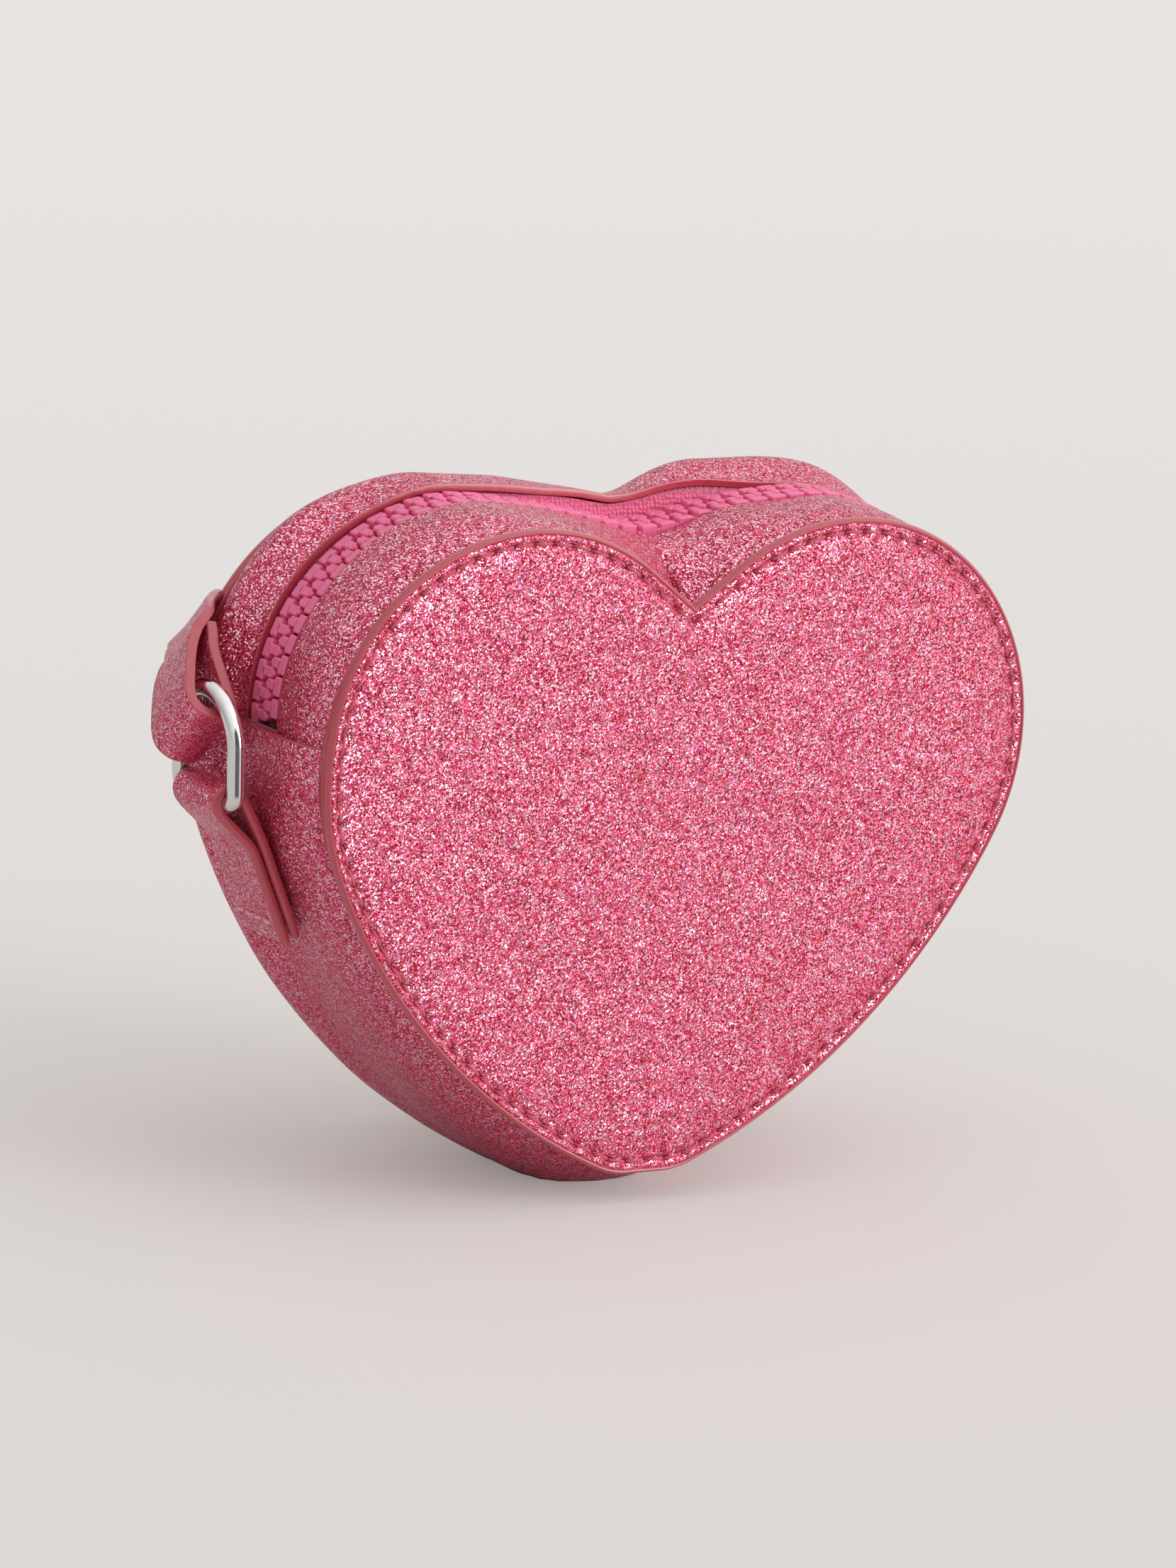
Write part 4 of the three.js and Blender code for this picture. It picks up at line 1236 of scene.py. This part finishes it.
def coil_path():
    growth = COIL_SPACING / pi
    left_turn = (COIL_RADIUS - COIL_EYE) / growth
    right_turn = left_turn + pi / 2
    begin = pi / 2 - left_turn
    origin = Vector((0, 0))

    def arm(start, turn):
        angles = spread(0, turn, ceil(turn / (2 * pi) * TURN_STEPS))
        return [on_circle(origin, COIL_EYE + growth * angle, start + angle) for angle in angles]

    left = arm(begin, left_turn)
    right = arm(begin + pi, right_turn)
    eye = on_circle(origin, COIL_EYE / 2, begin)
    half_circle = spread(0, pi, 12)
    inward = [on_circle(eye, COIL_EYE / 2, begin - angle) for angle in half_circle[1:]]
    outward = [on_circle(-eye, COIL_EYE / 2, begin + angle) for angle in half_circle[1:-1]]
    left_end = left[-1] + Vector((-COIL_TAIL, 0))
    right_end = right[-1] + Vector((0, COIL_TAIL))
    flat = [left_end] + left[::-1] + inward + outward + right + [right_end]
    lowest = min(point.y for point in flat)
    middle = Vector((COIL_X, GAP + LEATHER / 2 - lowest))
    path = [Vector((point.x + middle.x, STRAP_PLANE, point.y + middle.y, 0)) for point in flat]
    return path, middle


coil, coil_middle = coil_path()


def add_strap_end(word, line):
    """The loop, which rides on the strap's end, and the short neck past it, left in place."""
    loop = strap_sheet(f"strap_loop_{word}", line[:LOOP_END + 1], [line[LOOP_END]])
    fix(loop, f"{word}_strap_end", "glitter", f"strap_end_{word}")
    neck_line = line[LOOP_END:NECK_END + 1]
    neck = strap_sheet(f"strap_neck_{word}", neck_line, [neck_line[0], neck_line[-1]])
    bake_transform(neck)
    return [loop, neck]


def add_strap_run(name, line, nodes):
    """A long stretch of the strap, from the bag to a ring."""
    run = strap_sheet(name, line, [line[0], line[-1]])
    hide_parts(*nodes)
    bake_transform(run)


def add_tie():
    """A paper band through the eye of the roll and round all its turns."""
    half = STRAP_WIDTH / 2 + TIE_SLACK
    corners = [
        Vector((TIE_INNER, half)), Vector((TIE_OUTER, half)), Vector((TIE_OUTER, -half)),
        Vector((TIE_INNER, -half)),
    ]
    band = even_path(corners[1:] + corners[:2], TIE_STEP, TIE_PASSES)
    out = on_circle(Vector((0, 0)), 1, TIE_ANGLE)
    along = Vector((-out.y, out.x))
    across = spread(-TIE_WIDTH / 2, TIE_WIDTH / 2, 4)

    def on_tie(column, row):
        place = coil_middle + out * band[column].x + along * across[row]
        return (place.x, STRAP_PLANE + band[column].y, place.y)

    paper = grained_finish("tie_paper", TIE_PAPER, roughness=0.85, grain=0.0006, depth=0.0001)
    tie = shaped_sheet("strap_tie", len(band), len(across), on_tie, paper)
    merge_and_turn_out(tie)
    thicken(tie, TIE_THICK, 0, 0)
    smooth(tie)
    fix(tie, "bag", "lining")
    return tie


left_line = strap_line(end_path(-1, LEFT_ROUTE, coil[0]))
right_line = strap_line(end_path(1, RIGHT_ROUTE, coil[-1])[:-1] + coil[::-1])
left_pieces = add_strap_end("left", left_line)
right_pieces = add_strap_end("right", right_line) + [add_tie()]
left_run = left_line[NECK_END:]
roll = right_line[NECK_END:][::-1]
add_strap_run(
    "strap_run_left", left_run, ["strap_left_run"])
add_strap_run(
    "strap_roll", roll, ["strap_coil", "strap_right_run"])


# A pale studio floor that runs out of the picture and is painted lighter far off than near, as painted
# light, one large soft lamp to the right of the camera and above it, and a pale room, brighter on that
# side, for the rest of the light. A dark gap in its wall shows on the rings as a dark line. In
# reflections the floor is painted darker, and near-black below the gap under the ring, as painted shade.
FLOOR_SIZE = 14
# Painted light on the floor: its colour goes from darker near the camera to lighter far off.
FLOOR_NEAR = (0.75, 0.72, 0.7, 1)
FLOOR_FAR = (0.87, 0.845, 0.835, 1)
FLOOR_MIRRORED_SHADE = (0.58, 0.56, 0.55, 1)
FLOOR_TURN = (-0.2, 1.2)
FLOOR_GLOW = 0.35
GLOW_LEVEL = 0.88
ROOM_LEVEL = 1.2
ROOM_BRIGHT = (1, 0.985, 0.97, 1)
ROOM_DIM = (0.16, 0.157, 0.155, 1)
BRIGHT_SIDE = (0.5, -0.55, 0.67)
ROOM_GAP = (0.08, 0.08, 0.08, 1)
GAP_SIDE = (-0.2, -0.98, 0.05)
GAP_RIM = (0.88, 0.93)
UNDER_RING = (-0.088, 0, 0)
UNLIT_FROM = (0.1, 0.2)
KEY_PLACE = Vector((1.71, -2.07, 0.82))
KEY_AIM = Vector((0, 0, 0.06))
KEY_SIZE = 1.8
KEY_WATTS = 34

deselect()
bpy.ops.mesh.primitive_plane_add(size=FLOOR_SIZE)
floor = bpy.context.object
floor.name = "studio_floor"
paper, paper_shader = new_finish("floor_paper", {"Roughness": 0.9})
paper_place = own_place(paper)
paper_parts = add_node(paper, "SeparateXYZ", {"Vector": paper_place})
# Painted light: the floor's colour grows lighter away from the camera, as the studio's light falls on
# it.
far_away = share_between(paper, paper_parts.outputs["Y"], *FLOOR_TURN)
paper_tone = mixed(paper, far_away, FLOOR_NEAR, FLOOR_FAR)
ray = add_node(paper, "LightPath", {})
# Painted shade in reflections: glossy rays see the floor darker than the camera does, and near-black
# below the wall's gap, under the ring.
from_ring = reckon_way(paper, "SUBTRACT", paper_place, UNDER_RING)
ring_way = reckon_way(paper, "NORMALIZE", from_ring)
ring_away = reckon_way(paper, "LENGTH", from_ring, result="Value")
gap_way = reckon_way(paper, "DOT_PRODUCT", ring_way, GAP_SIDE, result="Value")
below_gap = share_between(paper, gap_way, *GAP_RIM)
unlit = reckon(paper, "MULTIPLY", below_gap, share_between(paper, ring_away, *UNLIT_FROM))
mirrored_shade_tone = mixed(paper, unlit, FLOOR_MIRRORED_SHADE, ROOM_GAP)
lit_tone = mixed(paper, ray.outputs["Is Glossy Ray"], paper_tone, mirrored_shade_tone)
set_inputs(paper, paper_shader, {"Base Color": lit_tone})
glow_share = reckon(paper, "MULTIPLY", ray.outputs["Is Camera Ray"], FLOOR_GLOW)
glow = add_node(paper, "Emission", {"Color": paper_tone, "Strength": GLOW_LEVEL})
paper_mix = add_node(paper, "MixShader", {
    0: glow_share, 1: paper_shader.outputs["BSDF"], 2: glow.outputs["Emission"]})
paper_out = paper.node_tree.nodes["Material Output"]
set_inputs(paper, paper_out, {"Surface": paper_mix.outputs["Shader"]})
floor.data.materials.append(paper)

bpy.ops.object.light_add(type="AREA")
key = bpy.context.object
key.name = "key_lamp"
key.data.shape = "DISK"
key.data.size = KEY_SIZE
key.data.energy = KEY_WATTS
aim = (KEY_AIM - KEY_PLACE).to_track_quat("-Z", "Y")
key.matrix_world = Matrix.LocRotScale(KEY_PLACE, aim, None)

room = bpy.data.worlds.new("pale_room")
room.use_nodes = True
way_out = add_node(room, "TexCoord", {}).outputs["Generated"]
toward_bright = reckon_way(room, "DOT_PRODUCT", way_out, BRIGHT_SIDE, result="Value")
toward_gap = reckon_way(room, "DOT_PRODUCT", way_out, GAP_SIDE, result="Value")
wall_tone = mixed(room, share_between(room, toward_bright, -1, 1), ROOM_DIM, ROOM_BRIGHT)
room_tone = mixed(room, share_between(room, toward_gap, *GAP_RIM), wall_tone, ROOM_GAP)
room_light = room.node_tree.nodes["Background"]
set_inputs(room, room_light, {"Color": room_tone, "Strength": ROOM_LEVEL})
bpy.context.scene.world = room
bpy.context.scene.view_settings.view_transform = "Standard"
